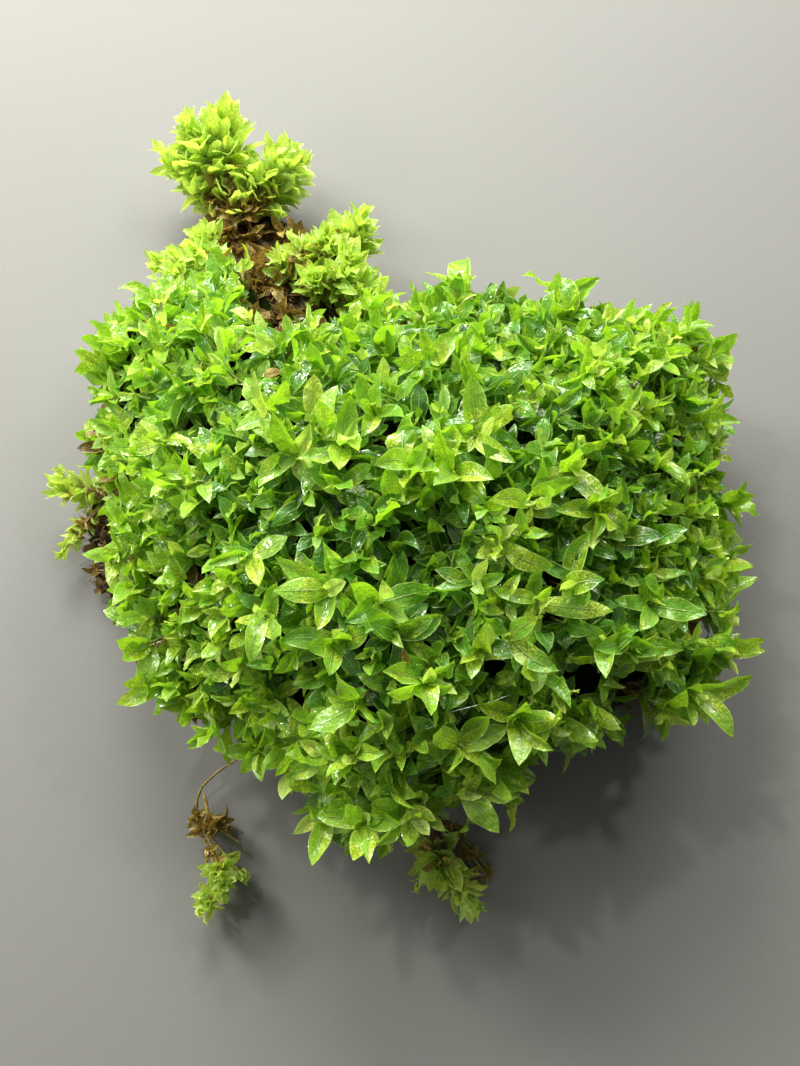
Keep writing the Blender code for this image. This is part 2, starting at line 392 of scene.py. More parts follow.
def skin_normal(bearing, way):
    """Outward direction of the skin at a point, from two short steps along it."""
    way = max(way, 2.0 * WAY_STEP)
    outwards = skin_point(bearing, way + WAY_STEP) - skin_point(bearing, way - WAY_STEP)
    onwards = skin_point(bearing + BEARING_STEP, way) - skin_point(bearing - BEARING_STEP, way)
    return outwards.cross(onwards).normalized()


print("peak of the skin at", round(skin_point(0.0, 0.0).z / MM, 1), "mm")

# %% [markdown]
# ### From a pixel to a place on the moss
#
# Some stars of leaves are clear in the photograph, and they should stand at the same place here.
# A pixel is a sight line out of the camera. Walking along it in short steps until it dips under
# the canopy finds the place on the cushion, so every star still sits on what carries it.

# %% Follow a sight line down to the canopy
SIGHT_START = 42.0 * MM
SIGHT_STEP = 0.05 * MM
SIGHT_STEPS = 700


def bearing_and_reach(place):
    """Bearing in degrees and distance of a place from the peak, seen from above."""
    flat = Vector((place.x - PEAK_PLACE.x, place.y - PEAK_PLACE.y))
    return math.degrees(math.atan2(flat.y, flat.x)), flat.length


def canopy_height(place):
    """Height of the cushion's skin above a place in plan, and of its rim outside it."""
    bearing, reach = bearing_and_reach(place)
    rim_height = around(CUSHION_OUTLINE, bearing, 2)
    share = min(1.0, reach / rim_reach_at(bearing))
    return rim_height + (PEAK_HEIGHT - rim_height) * (1.0 - share ** DOME_POWER)


def sight_line(pixel):
    """Direction from the camera through a pixel of the photograph."""
    across = (pixel[0] - PHOTO_WIDTH / 2) / PHOTO_HEIGHT * SENSOR / LENS
    down = (pixel[1] - PHOTO_HEIGHT / 2) / PHOTO_HEIGHT * SENSOR / LENS
    return (camera_turn.to_matrix() @ Vector((across, -down, -1.0))).normalized()


def seen_at(pixel, lift):
    """Place on the canopy, lifted a little, that shows at a pixel, or the rim where it is past that."""
    sight = sight_line(pixel)
    for step in range(SIGHT_STEPS):
        place = camera_place + sight * (SIGHT_START + step * SIGHT_STEP)
        if place.z < canopy_height(place) + lift:
            break
    bearing, reach = bearing_and_reach(place)
    if reach > rim_reach_at(bearing):
        return skin_point(bearing, RIM_WAY)
    return place


def tip_seen_at(pixel, base, length):
    """Where the tip of a leaf of this length is, if it shows at a pixel: the nearer of two places."""
    sight = sight_line(pixel)
    nearest = (base - camera_place).dot(sight)
    gap = (camera_place + sight * nearest - base).length
    return camera_place + sight * (nearest - math.sqrt(max(0.0, length ** 2 - gap ** 2)))


print("middle of the photograph is", round(seen_at((400, 533), 0.0).z / MM, 1), "mm up")

# %% [markdown]
# ## One leaf, modelled once
#
# A moss leaf is one cell thick: a pointed blade, keeled along its midrib like a boat, with thin
# edges. It is modelled once as a flat grid in which X says how far a point is across the blade and
# Y how far along it. Every leaf of the clump is then a bent, twisted and folded copy of this grid,
# so the grid is kept small: a few dozen faces.

# %% Model the flat leaf
ROW_TOLERANCE = 0.001             # points of the grid this close in Y are in one row


def flat_leaf(name, across, along):
    """Grid of points (across -1 to 1, along 0 to 1) that ends in one point, and its faces."""
    bpy.ops.object.select_all(action="DESELECT")
    bpy.ops.mesh.primitive_grid_add(x_subdivisions=across, y_subdivisions=along, size=2.0)
    grid = bpy.context.object
    grid.name = name
    bpy.ops.object.mode_set(mode="EDIT")
    shape = bmesh.from_edit_mesh(grid.data)
    highest = max(corner.co.y for corner in shape.verts)
    for corner in shape.verts:
        corner.select = corner.co.y > highest - ROW_TOLERANCE
    shape.select_flush_mode()
    bmesh.update_edit_mesh(grid.data)
    bpy.ops.mesh.merge(type="CENTER")
    bpy.ops.object.mode_set(mode="OBJECT")
    places = np.array([(corner.co.x, (corner.co.y + 1.0) / 2.0) for corner in grid.data.vertices])
    faces = [tuple(face.vertices) for face in grid.data.polygons]
    bpy.data.objects.remove(grid)
    return places, faces


FINE_LEAF = flat_leaf("fine_leaf", 4, 8)
PLAIN_LEAF = flat_leaf("plain_leaf", 2, 5)
print("faces of a fine leaf:", len(FINE_LEAF[1]), "and of a plain one:", len(PLAIN_LEAF[1]))

# %% [markdown]
# ### Bending the copies
#
# A leaf is described by where it starts, where its tip is, which way its upper face looks, and how
# it is shaped: its width, how much it arches, sways, twists and folds, and how wavy its edge is.
# All leaves of a piece are computed together with numpy, which is much quicker than one by one.

# %% Turn leaf descriptions into points
Leaf = namedtuple("Leaf", "base tip up width bend sway twist fold wave tone lot")
WIDEST_AT = 0.46                  # of the leaf's length from its base
BASE_WIDTH = 0.46                 # of its widest width
TIP_POWER = 2.2                   # 1 is a straight-sided tip, more is a fuller one
WAVES_A_LEAF = 1.9
WAVE_SPREAD = 40.0                # so that no two leaves have their waves in the same places
EDGE_LAG = 0.8                    # of a wave, between the two edges of a blade
UNTWISTED_AT = 0.35               # of the leaf's length from its base
FOLD_NARROWING = 0.8
KEEL_POWER = 1.5                  # 1 is a keel as sharp as a V, 2 a round one


def half_width(along):
    """Half width of the blade at a share of its length, where the widest is 1."""
    below = 1.0 - (1.0 - BASE_WIDTH) * ((WIDEST_AT - along) / WIDEST_AT) ** 2
    beyond = 1.0 - (np.clip(along - WIDEST_AT, 0.0, 1.0) / (1.0 - WIDEST_AT)) ** TIP_POWER
    return np.where(along < WIDEST_AT, below, beyond)


def unit(vectors):
    """The vectors, each made one long."""
    return vectors / np.maximum(np.linalg.norm(vectors, axis=-1, keepdims=True), 1e-12)


def leaf_points(leaves, grid):
    """Points of every leaf, one row for each leaf."""
    column = {field: np.array([getattr(leaf, field) for leaf in leaves]) for field in Leaf._fields}
    across, along = grid[:, 0], grid[:, 1]
    chord = column["tip"] - column["base"]
    reach = np.linalg.norm(chord, axis=1)[:, None, None]
    forward = unit(chord)
    upward = unit(column["up"] - forward * (column["up"] * forward).sum(1, keepdims=True))
    sideways = np.cross(forward, upward)

    # The spine is a short arc over the chord. Its rise and its tilt follow from the bend angle.
    bend = column["bend"][:, None]
    tilt = bend * (along - 0.5)
    rise = -bend * along * (1.0 - along) * 0.5
    drift = column["sway"][:, None] * along * (1.0 - along)
    spine = (column["base"][:, None] + forward[:, None] * along[None, :, None] * reach
             + upward[:, None] * rise[..., None] * reach + sideways[:, None] * drift[..., None] * reach)
    face = upward[:, None] * np.cos(tilt)[..., None] - forward[:, None] * np.sin(tilt)[..., None]
    roll = (column["twist"][:, None] * (along - UNTWISTED_AT))[..., None]
    side = sideways[:, None] * np.cos(roll) + face * np.sin(roll)
    face = face * np.cos(roll) - sideways[:, None] * np.sin(roll)

    half = half_width(along) * column["width"][:, None] / 2.0
    fold = column["fold"][:, None]
    phase = column["lot"][:, None] * WAVE_SPREAD + np.sign(across) * EDGE_LAG
    ripple = column["wave"][:, None] * np.sin(WAVES_A_LEAF * 2.0 * math.pi * along + phase) * across ** 2
    out = across * np.cos(fold * FOLD_NARROWING)
    lift = np.abs(across) ** KEEL_POWER * np.sin(fold) + ripple
    return spine + side * (out * half)[..., None] + face * (lift * half)[..., None]


print("widest of a blade:", round(float(half_width(np.array(WIDEST_AT))), 2))

# %% [markdown]
# ### From points to one object
#
# Thousands of separate objects would be slow and heavy, so all leaves of a piece become one mesh.
# Two things about each leaf go along with it for the material: a map named "leaf" that says where
# on the blade a point is, and the values "tone", how bright the leaf is, and "lot", a number of its
# own between 0 and 1.

# %% Join batches of points into an object
Batch = namedtuple("Batch", "points faces map tone lot finish")
FLOOR_GAP = 0.03 * MM             # what would reach under the floor lies on it, this far up


def leaf_batch(leaves, flat, finish=0):
    """Batch of bent copies of a flat leaf."""
    grid, faces = flat
    count = len(grid)
    points = leaf_points(leaves, grid).reshape(-1, 3)
    joined = [tuple(corner + index * count for corner in face)
              for index in range(len(leaves)) for face in faces]
    spot = np.column_stack([grid[:, 0] / 2.0 + 0.5, grid[:, 1]])
    tone = np.repeat([leaf.tone for leaf in leaves], count)
    lot = np.repeat([leaf.lot for leaf in leaves], count)
    return Batch(points, joined, np.tile(spot, (len(leaves), 1)), tone, lot, finish)


def join_batches(name, batches, materials):
    """One object at the origin, with its place in its mesh."""
    points = np.concatenate([batch.points for batch in batches])
    points[:, 2] = np.maximum(points[:, 2], FLOOR_GAP)
    faces, finishes, start = [], [], 0
    for batch in batches:
        faces += [tuple(corner + start for corner in face) for face in batch.faces]
        finishes += [batch.finish] * len(batch.faces)
        start += len(batch.points)
    mesh = bpy.data.meshes.new(name)
    mesh.from_pydata(points.tolist(), [], faces)
    mesh.polygons.foreach_set("material_index", finishes)
    corners = np.empty(len(mesh.loops), dtype=np.int32)
    mesh.loops.foreach_get("vertex_index", corners)
    spots = np.concatenate([batch.map for batch in batches])[corners]
    mesh.uv_layers.new(name="leaf").data.foreach_set("uv", spots.astype(np.float32).ravel())
    for title in ("tone", "lot"):
        values = np.concatenate([getattr(batch, title) for batch in batches])
        layer = mesh.attributes.new(title, "FLOAT", "POINT")
        layer.data.foreach_set("value", values.astype(np.float32))
    mesh.shade_smooth()
    for material in materials:
        mesh.materials.append(material)
    made = bpy.data.objects.new(name, mesh)
    bpy.context.collection.objects.link(made)
    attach(made, "root")
    print(f"{name}: {sum(len(face) - 2 for face in faces)} triangles")
    return made


# %% [markdown]
# ### Stems and rhizoids
#
# Under its leaves each shoot is a thin wiry stem, and its foot is wrapped in rhizoids, the brown
# hairs that hold moss to the ground. Both are fine tubes with few sides around a row of points.

# %% Tubes around rows of points
TUBE_END_WIDTH = 0.45             # of the width at its start
TUBE_MAP_ACROSS = 0.25
SLANTED_WAY = np.array([0.31, 0.22, 0.92])     # no tube runs quite this way, so its sides start from it


def tube_batch(paths, radius, sides, tone, lot, finish=0):
    """Batch of tapering tubes. Paths is an array of tubes, points along each, and x, y, z."""
    paths = np.asarray(paths)
    tubes, stations = paths.shape[:2]
    along = unit(np.gradient(paths, axis=1))
    sideways = unit(np.cross(along, SLANTED_WAY))
    face = np.cross(along, sideways)
    turn = np.arange(sides) * 2.0 * math.pi / sides
    taper = radius * np.linspace(1.0, TUBE_END_WIDTH, stations)[None, :, None, None]
    ring = (sideways[:, :, None] * np.cos(turn)[None, None, :, None]
            + face[:, :, None] * np.sin(turn)[None, None, :, None])
    points = (paths[:, :, None] + ring * taper).reshape(-1, 3)
    faces = []
    for tube in range(tubes):
        start = tube * stations * sides
        for station in range(stations - 1):
            low, high = start + station * sides, start + (station + 1) * sides
            faces += [(low + index, low + (index + 1) % sides, high + (index + 1) % sides, high + index)
                      for index in range(sides)]
        faces.append(tuple(start + index for index in reversed(range(sides))))
        faces.append(tuple(start + (stations - 1) * sides + index for index in range(sides)))
    along_tube = np.tile(np.repeat(np.linspace(0.0, 1.0, stations), sides), tubes)
    spot = np.column_stack([np.full(len(points), TUBE_MAP_ACROSS), along_tube])
    each = stations * sides
    return Batch(points, faces, spot, np.repeat(tone, each), np.repeat(lot, each), finish)


# %% [markdown]
# ## The finish of a leaf
#
# A wet moss leaf does three things with light: it lets much of it through, turned yellow-green;
# it scatters the rest, darker and greener where the leaf is old; and the film of water on it glints.
# A Principled shader with a thin wet coat is mixed with a Translucent shader for that. The map on
# each blade draws the pale midrib and the thin pale edge, and noise makes the mottling and cells.
# The colour also paints light: golden zones of painted glow where light would come through, with
# single cells painted as sparkling glints, and cooler zones of painted sheen.

# %% Leaf finish
CELL_SCALE = 7000.0               # cells a metre: they show as a grain of about 0.14 mm
MOTTLE_SCALE = 850.0
ZONE_SCALE = 640.0                # zones of painted glow and painted sheen, about 1.5 mm across
ZONE_SPREAD = 20.0                # so that each leaf has its zones in other places
# cells painted as sparkling glints, about 0.12 mm apart
PAINTED_SPARKLE_SCALE = 8200.0
FILM_SCALE = 1900.0
# colour of the painted sparkles
PAINTED_SPARKLE_COLOR = (0.96, 0.96, 0.22)
SWELL_DEPTH = 0.045 * MM
FILM_DEPTH = 0.19 * MM


def leaf_finish(name, dark, middle, bright, painted_glow, painted_sheen, through, rib, letting_through, wetness):
    """Material of one age of leaf: three colours by tone, zones of painted glow and sheen, what shines
    through, midrib.
    """
    material, tree = new_material(name)
    across, along, _ = leaf_map(tree)
    from_rib = math_node(tree, "ABSOLUTE", math_node(tree, "MULTIPLY_ADD", across, 2.0, -1.0))
    lot = own_value(tree, "lot")
    place = object_place(tree)
    mottle = noise_of(tree, place, MOTTLE_SCALE, 4.0)
    film = noise_of(tree, place, FILM_SCALE, 2.5)
    spread = {"W": math_node(tree, "MULTIPLY", lot, ZONE_SPREAD)}
    zones = noise_of(tree, place, ZONE_SCALE, 1.5, spread, noise_dimensions="4D")

    # Tone, shifted by the mottling, chooses the green. Each leaf has painted zones: golden ones, mostly
    # near its base, paint light coming through, with single cells painted as sparkles; cooler ones paint a
    # sheen.
    shift = math_node(tree, "MULTIPLY_ADD", mottle, 1.6, -0.80)
    level = math_node(tree, "ADD", own_value(tree, "tone"), shift)
    green = color_ramp(tree, level, (0.0, *dark), (0.5, *middle), (1.0, *bright))
    painted_glow_zone = fade(tree, math_node(tree, "MULTIPLY_ADD", along, -0.17, zones), 0.40, 0.50)
    painted_glow_share = math_node(tree, "MULTIPLY", painted_glow_zone, fade(tree, level, -0.2, 0.8))
    grain = fade(tree, from_cell(tree, place, CELL_SCALE), 0.20, 0.60)
    painted_sparkle = math_node(tree, "MULTIPLY", fade(tree, from_cell(tree, place, PAINTED_SPARKLE_SCALE), 0.46, 0.16), painted_glow_share)
    short_of_tip = fade(tree, along, 0.95, 0.70)
    beside_rib = math_node(tree, "MULTIPLY", fade(tree, from_rib, 0.26, 0.10), short_of_tip)
    near_rib = math_node(tree, "MULTIPLY", fade(tree, from_rib, 0.09, 0.03), short_of_tip)
    # Painted light: the cool tint is painted sheen, the golden tint painted glow, the bright cells painted
    # sparkles.
    for other, share, strength in (
            (painted_sheen, math_node(tree, "SUBTRACT", 1.0, painted_glow_zone), 0.50),
            (painted_glow, painted_glow_share, 0.74),
            (dark, grain, math_node(tree, "MULTIPLY_ADD", painted_glow_zone, 0.30, 0.20)),
            (PAINTED_SPARKLE_COLOR, painted_sparkle, 0.75),
            (dark, beside_rib, 0.35),
            (rib, near_rib, 0.55),
            (rib, fade(tree, from_rib, 0.86, 0.96), 0.75)):
        green = tint(tree, green, other, share, strength)

    # The blade swells between its nerves and its cells. The wet film on it lies in smooth waves that
    # mirror the lamps as white patches, and the cells painted as sparkles also stand out of it a little.
    swell = math_node(tree, "MULTIPLY_ADD", grain, -0.30, math_node(tree, "MULTIPLY", near_rib, 0.9))
    swell = math_node(tree, "MULTIPLY_ADD", mottle, 2.2, swell)
    swell = math_node(tree, "MULTIPLY_ADD", film, 2.6, swell)
    relief = bump(tree, swell, SWELL_DEPTH)
    roughness = math_node(tree, "MULTIPLY_ADD", fade(tree, mottle, 0.35, 0.70), 0.40, 0.20)
    skin = shader(
        tree, "Principled", Base_Color=green, Roughness=roughness, IOR=1.42, Normal=relief,
        Coat_Weight=wetness, Coat_Roughness=0.04, Coat_IOR=1.55,
        Coat_Normal=bump(tree, math_node(tree, "MULTIPLY_ADD", painted_sparkle, 0.10, film), FILM_DEPTH))
    glow_share = math_node(tree, "MULTIPLY_ADD", lot, 0.3, 0.25)
    glow_color = tint(tree, mix_colors(tree, glow_share, opaque(through), green), middle, grain, 0.5)
    glow = shader(tree, "Translucent", Color=glow_color, Normal=relief)
    wet_leaf = add_node(tree, "ShaderNodeMixShader", {0: letting_through, 1: skin, 2: glow})
    finish_material(tree, wet_leaf.outputs[0])
    print("finish:", name)
    return material


mature_finish = leaf_finish(
    "wet_mature_leaf", dark=(0.018, 0.088, 0.005), middle=(0.215, 0.51, 0.012), bright=(0.54, 0.82, 0.04),
    painted_glow=(0.66, 0.84, 0.03), painted_sheen=(0.155, 0.40, 0.055), through=(0.56, 0.92, 0.012),
    rib=(0.62, 0.82, 0.20), letting_through=0.46, wetness=1.0)
young_finish = leaf_finish(
    "wet_young_leaf", dark=(0.20, 0.42, 0.03), middle=(0.46, 0.71, 0.05), bright=(0.84, 0.94, 0.20),
    painted_glow=(0.88, 0.93, 0.15), painted_sheen=(0.46, 0.72, 0.20), through=(0.82, 0.96, 0.11),
    rib=(0.72, 0.85, 0.22), letting_through=0.48, wetness=0.9)
old_finish = leaf_finish(
    "withered_leaf", dark=(0.060, 0.034, 0.007), middle=(0.29, 0.17, 0.024), bright=(0.58, 0.43, 0.09),
    painted_glow=(0.56, 0.36, 0.05), painted_sheen=(0.16, 0.11, 0.03), through=(0.58, 0.36, 0.05),
    rib=(0.48, 0.37, 0.13), letting_through=0.34, wetness=0.3)

# %% [markdown]
# ## The dark heart of the cushion
#
# Between the stars the eye falls into near-black gaps, where stems and dead leaves crowd in deep shade.
# One closed near-black body under the leaves makes them: its colour is partly the stems' own dark and
# partly painted shade. A UV sphere is a good start: its rows of latitude become rings round the dome,
# from the peak to the flat underside, and each corner is moved onto the cushion's skin, a little below
# the leaves and roughened by noise.

# %% Shape the heart from a sphere
HEART_DEPTH = 2.0 * MM
HEART_ROUGHNESS = 0.45 * MM
HEART_LUMP_WIDTH = 0.9 * MM
HEART_GAP = 0.1 * MM              # at least this far over the soil
UNDERSIDE_WAY = 0.25              # further way from the edge of the underside to its middle

bpy.ops.object.select_all(action="DESELECT")
bpy.ops.mesh.primitive_uv_sphere_add(segments=128, ring_count=64, radius=1.0)
heart = bpy.context.object
heart.name = "cushion_heart"
for corner in heart.data.vertices:
    bearing = math.degrees(math.atan2(corner.co.y, corner.co.x))
    way = math.degrees(math.acos(max(-1.0, min(1.0, corner.co.z)))) / 180.0 * (1.0 + UNDERSIDE_WAY)
    if way <= 1.0:
        place = skin_point(bearing, way)
        inward = skin_normal(bearing, way) * -HEART_DEPTH
    else:
        edge_place = skin_point(bearing, 1.0)
        share = (1.0 + UNDERSIDE_WAY - way) / UNDERSIDE_WAY
        place = PEAK_PLACE.lerp(edge_place, share)
        place.z = edge_place.z
        inward = Vector()
    rough = noise.noise(place / HEART_LUMP_WIDTH) * HEART_ROUGHNESS
    place = place + inward + UP * rough
    place.z = max(place.z, SOIL_TOP + HEART_GAP)
    corner.co = place
heart.data.shade_smooth()

# Near-black finish: painted shade over the dark stems and dead leaves.
heart.data.materials.append(streaked_finish(
    "heart_of_painted_shade", [(0.35, 0.003, 0.005, 0.001), (0.55, 0.010, 0.016, 0.003), (0.75, 0.035, 0.030, 0.008)],
    scale=1300.0, detail=5.0, roughness=1.0, depth=0.3 * MM, Specular_IOR_Level=0.0))
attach(heart, "root")
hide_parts("moss_cushion")
print("heart of the cushion:", len(heart.data.polygons), "faces")

# %% [markdown]
# ## Where the shoots stand
#
# The clearest stars of the photograph come first, each with its middle and the tips of its most
# visible leaves. The rest of the cushion is then filled by throwing darts: a random place is kept
# only if it is far enough from every shoot that is there already, which gives the even, unordered
# crowding of real moss. Over the hollows that the photograph shows, nothing grows. Each shoot also
# gets a tone that paints light and shade: lighter at the rim, partly for lighter growth there, on
# rises and towards the front left and back left, less so at the back, and darker in dips.

# %% Stars seen in the photograph
# For each star: whether it is clearly paler or darker than the ones around it, the pixel of its
# middle, across from the left side of the photograph and down from its top, and those of its tips.
PALE, PLAIN, DARK = 1, 0, -1
SEEN_STARS = [
    (PALE, (343, 445), [(295, 459), (351, 394), (359, 451), (339, 470)]),
    (PALE, (318, 436), [(338, 385)]),
    (PLAIN, (375, 412), [(359, 400), (359, 375), (404, 417), (361, 437)]),
    (PALE, (297, 454), [(273, 412), (258, 487)]),
    (PALE, (410, 468), [(373, 465), (428, 441), (440, 472), (404, 486)]),
    (PALE, (475, 436), [(471, 373), (514, 407), (516, 463)]), (PLAIN, (442, 427), []),
    (PLAIN, (573, 472), [(534, 492), (609, 507), (578, 449), (523, 452)]),
    (PALE, (452, 478), [(420, 474)]), (PALE, (597, 511), [(555, 511)]), (PALE, (531, 503), [(489, 500)]),
    (PLAIN, (329, 589), [(273, 591), (275, 557)]),
    (DARK, (337, 642), [(280, 640), (341, 632), (369, 631), (329, 676), (305, 646)]),
    (DARK, (380, 604), [(436, 589), (351, 584)]), (DARK, (355, 706), []),
    (PLAIN, (248, 557), [(259, 586), (288, 537)]), (PLAIN, (265, 616), [(250, 664), (281, 635)]),
    (DARK, (399, 635), []), (DARK, (475, 584), []), (DARK, (475, 616), []),
    (PALE, (541, 605), [(614, 611)]), (DARK, (509, 635), [(559, 671), (539, 616)]),
    (DARK, (568, 586), [(591, 531), (605, 579), (591, 595)]), (PALE, (503, 543), [(555, 566)]),
    (PLAIN, (428, 683), [(431, 716)]), (DARK, (652, 604), [(707, 614), (640, 631), (614, 600)]),
    (DARK, (633, 648), [(684, 650)]), (DARK, (605, 654), [(606, 679)]), (DARK, (624, 643), []),
    (PLAIN, (368, 821), [(316, 816), (353, 861), (369, 864), (401, 823), (345, 805)]),
    (PLAIN, (329, 751), []), (PALE, (301, 745), [(297, 707), (342, 700)]),
    (PLAIN, (406, 811), [(371, 802)]), (PALE, (462, 747), [(433, 735), (490, 717), (509, 726)]),
    (DARK, (465, 793), [(520, 796), (499, 833)]),
    (PLAIN, (514, 718), [(561, 718), (519, 766), (477, 704)]),
    (PLAIN, (591, 711), [(571, 754), (622, 730)]), (PALE, (694, 694), [(753, 674), (733, 738)]),
    (PALE, (662, 705), []), (PALE, (268, 409), []), (DARK, (374, 524), []), (DARK, (714, 646), []),
    (PALE, (734, 500), [(755, 495), (748, 480)]), (PLAIN, (728, 560), [(752, 567)]),
    (PLAIN, (716, 345), [(738, 333), (735, 362)]), (PLAIN, (690, 322), [(699, 300)]),
    (PALE, (558, 296), [(560, 272)]), (PALE, (462, 292), [(467, 263), (448, 274)]),
    (PLAIN, (106, 345), [(80, 338), (88, 320)]), (PLAIN, (134, 592), [(106, 590), (112, 606)]),
    (PALE, (146, 645), [(116, 640), (122, 660)]), (PALE, (146, 690), [(116, 704), (122, 684)]),
    (DARK, (318, 838), [(312, 866)]), (PLAIN, (214, 728), [(200, 748), (226, 752)]),
    (PLAIN, (254, 756), [(240, 774), (262, 782)]),
]
# The deepest hollows between the stars, as pixels, and how wide they are in millimetres: the dark
# ones, and the ones whose bottom is brown with old leaves.
DARK_HOLLOWS = [
    ((453, 535), 0.75), ((409, 566), 0.55), ((298, 527), 0.75), ((327, 498), 0.5), ((367, 598), 0.55),
    ((239, 393), 0.65), ((170, 449), 0.45), ((198, 575), 0.6), ((286, 310), 0.65), ((384, 368), 0.5),
    ((561, 572), 0.75), ((539, 517), 0.7), ((544, 608), 0.8), ((632, 693), 1.35), ((588, 678), 1.0),
    ((493, 662), 0.82), ((461, 708), 0.62),
]
BROWN_HOLLOWS = [((256, 257), 2.0), ((292, 298), 1.1), ((700, 622), 0.7)]
print("stars and hollows seen:", len(SEEN_STARS), len(DARK_HOLLOWS) + len(BROWN_HOLLOWS))

# %% How the growth varies over the cushion
STAR_CONTRAST = 0.50
STAR_TONES = (0.45, 0.72)
HEAD_LIFT = 0.45 * MM
LEANING_ASTRAY = 0.62
DRAWN_UPRIGHT = 0.35
LOWEST_STAR_WAY = RIM_WAY + 0.02
RIM_TONE = 1.08
BACK_RIM_LOSS = 0.8               # share of the rim's tone that it loses at the back
# Sides towards which painted light makes the growth lighter: the way there, how far from the middle
# it starts, over what further distance, and how much tone it gains there.
PAINTED_LIGHT_SIDES = {
    "front_left": (Vector((-0.6, -0.8)), 5.0 * MM, 9.0 * MM, 1.10),
    "back_left": (Vector((-0.5, 0.87)), 11.0 * MM, 8.0 * MM, 0.75),
}

Shoot = namedtuple("Shoot", "head axis tips tone")
dice = random.Random(5)


def leaning(bearing, way):
    """Direction a shoot grows in: out of the skin, drawn a little upright, and never quite even."""
    stray = Vector((dice.uniform(-1, 1), dice.uniform(-1, 1), 0.0)) * LEANING_ASTRAY
    return (skin_normal(bearing, way) + UP * DRAWN_UPRIGHT + stray).normalized()


hollows = [(seen_at(pixel, 0.0), sight_line(pixel), width * MM)
           for pixel, width in DARK_HOLLOWS + BROWN_HOLLOWS]


def in_hollow(place, margin=0.0):
    """True where a place is over one of the hollows, or nearer to it than a margin."""
    return any((place - middle).cross(sight).length < width + margin for middle, sight, width in hollows)


def growth_and_painted_light_tone(place):
    """Painted light: tone gained towards the rim, partly for lighter growth there, less at the back, and on
    the lit sides.
    """
    bearing, reach = bearing_and_reach(place)
    share = min(1.0, reach / rim_reach_at(bearing))
    backness = max(0.0, math.sin(math.radians(bearing)))
    gained = sum(tone * max(0.0, place.xy.dot(way) - start) / depth
                 for way, start, depth, tone in PAINTED_LIGHT_SIDES.values())
    return RIM_TONE * share ** 2 * (1.0 - BACK_RIM_LOSS * backness) + gained


print("widths of the hollows in mm:", [round(width / MM, 2) for _, _, width in hollows])

# %% Set the stars that are seen
shoots = []
for mark, middle, tips in SEEN_STARS:
    head = seen_at(middle, HEAD_LIFT)
    bearing, reach = bearing_and_reach(head)
    way = min(LOWEST_STAR_WAY, reach / rim_reach_at(bearing) * RIM_WAY)
    # painted light at the rim and on the lit sides
    tone = dice.uniform(*STAR_TONES) + growth_and_painted_light_tone(head)
    tone += STAR_CONTRAST * mark
    shoots.append(Shoot(head, leaning(bearing, way), tips, tone))
print("stars from the photograph:", len(shoots))

# %% Fill the cushion with shoots
SHOOT_SPACING = 1.40 * MM
LOWEST_SHOOT_WAY = 0.95
SWELLING_WIDTH = 3.4 * MM         # of the chance rises and dips between the seen stars
SWELLING_HEIGHT = 1.55 * MM
HEAD_RISE = (-1.0 * MM, 0.1 * MM) # how far the head is moved along the shoot, by chance
FILL_TONE = 0.55
# tone of painted light on the rises and of painted shade in the dips
PAINTED_SWELL_LIGHT_AND_SHADE = 1.1
FILL_TONE_ASTRAY = 0.42
DARTS = 20000

for _ in range(DARTS):
    bearing = dice.uniform(0.0, 360.0)
    way = LOWEST_SHOOT_WAY * math.sqrt(dice.random())
    foot = skin_point(bearing, way)
    if in_hollow(foot):
        continue
    if any((foot - other.head).length < SHOOT_SPACING for other in shoots):
        continue
    axis = leaning(bearing, way)
    swelling = noise.noise(foot / SWELLING_WIDTH)
    lift = swelling * SWELLING_HEIGHT + dice.uniform(*HEAD_RISE)
    # painted light at the rim, on the lit sides and on rises, painted shade in dips
    tone = FILL_TONE + growth_and_painted_light_tone(foot) + PAINTED_SWELL_LIGHT_AND_SHADE * swelling
    tone += dice.uniform(-FILL_TONE_ASTRAY, FILL_TONE_ASTRAY)
    if not in_hollow(foot + axis * lift):
        shoots.append(Shoot(foot + axis * lift, axis, [], tone))
print("shoots in all:", len(shoots))

# %% [markdown]
# ## Leaves round a shoot
#
# Moss sets each new leaf about 137 degrees round the stem from the last, so no leaf shades the one
# below. The youngest stand nearly upright in the middle, small and yellow-green; the next ones are
# full size and spread out into the star; the oldest hang below it, dark and worn. Every leaf also
# gets painted shade, darker the deeper it sits under the canopy. Each shoot grows by the same rules,
# and chance moves every leaf a little off them.

# %% How the leaves vary
GOLDEN_TURN = math.radians(137.5)
LEAF_LENGTH = 2.00 * MM
LEAF_WIDTH = 0.44                 # of a leaf's length
SEEN_LEAF_WIDTH = 0.47
LEAF_SIZES = (0.82, 1.15)         # smallest and largest share of the usual length or width
LEAF_STEP = 0.10 * MM             # along the stem from one leaf to the next
LEAF_ASTRAY = 0.13 * MM
YOUNG_LEAVES = 2
YOUNG_PITCHES = (35.0, 72.0)      # degrees from the way out towards the stem's own way
YOUNG_SIZES = (0.38, 0.75)        # of the shoot's usual leaf
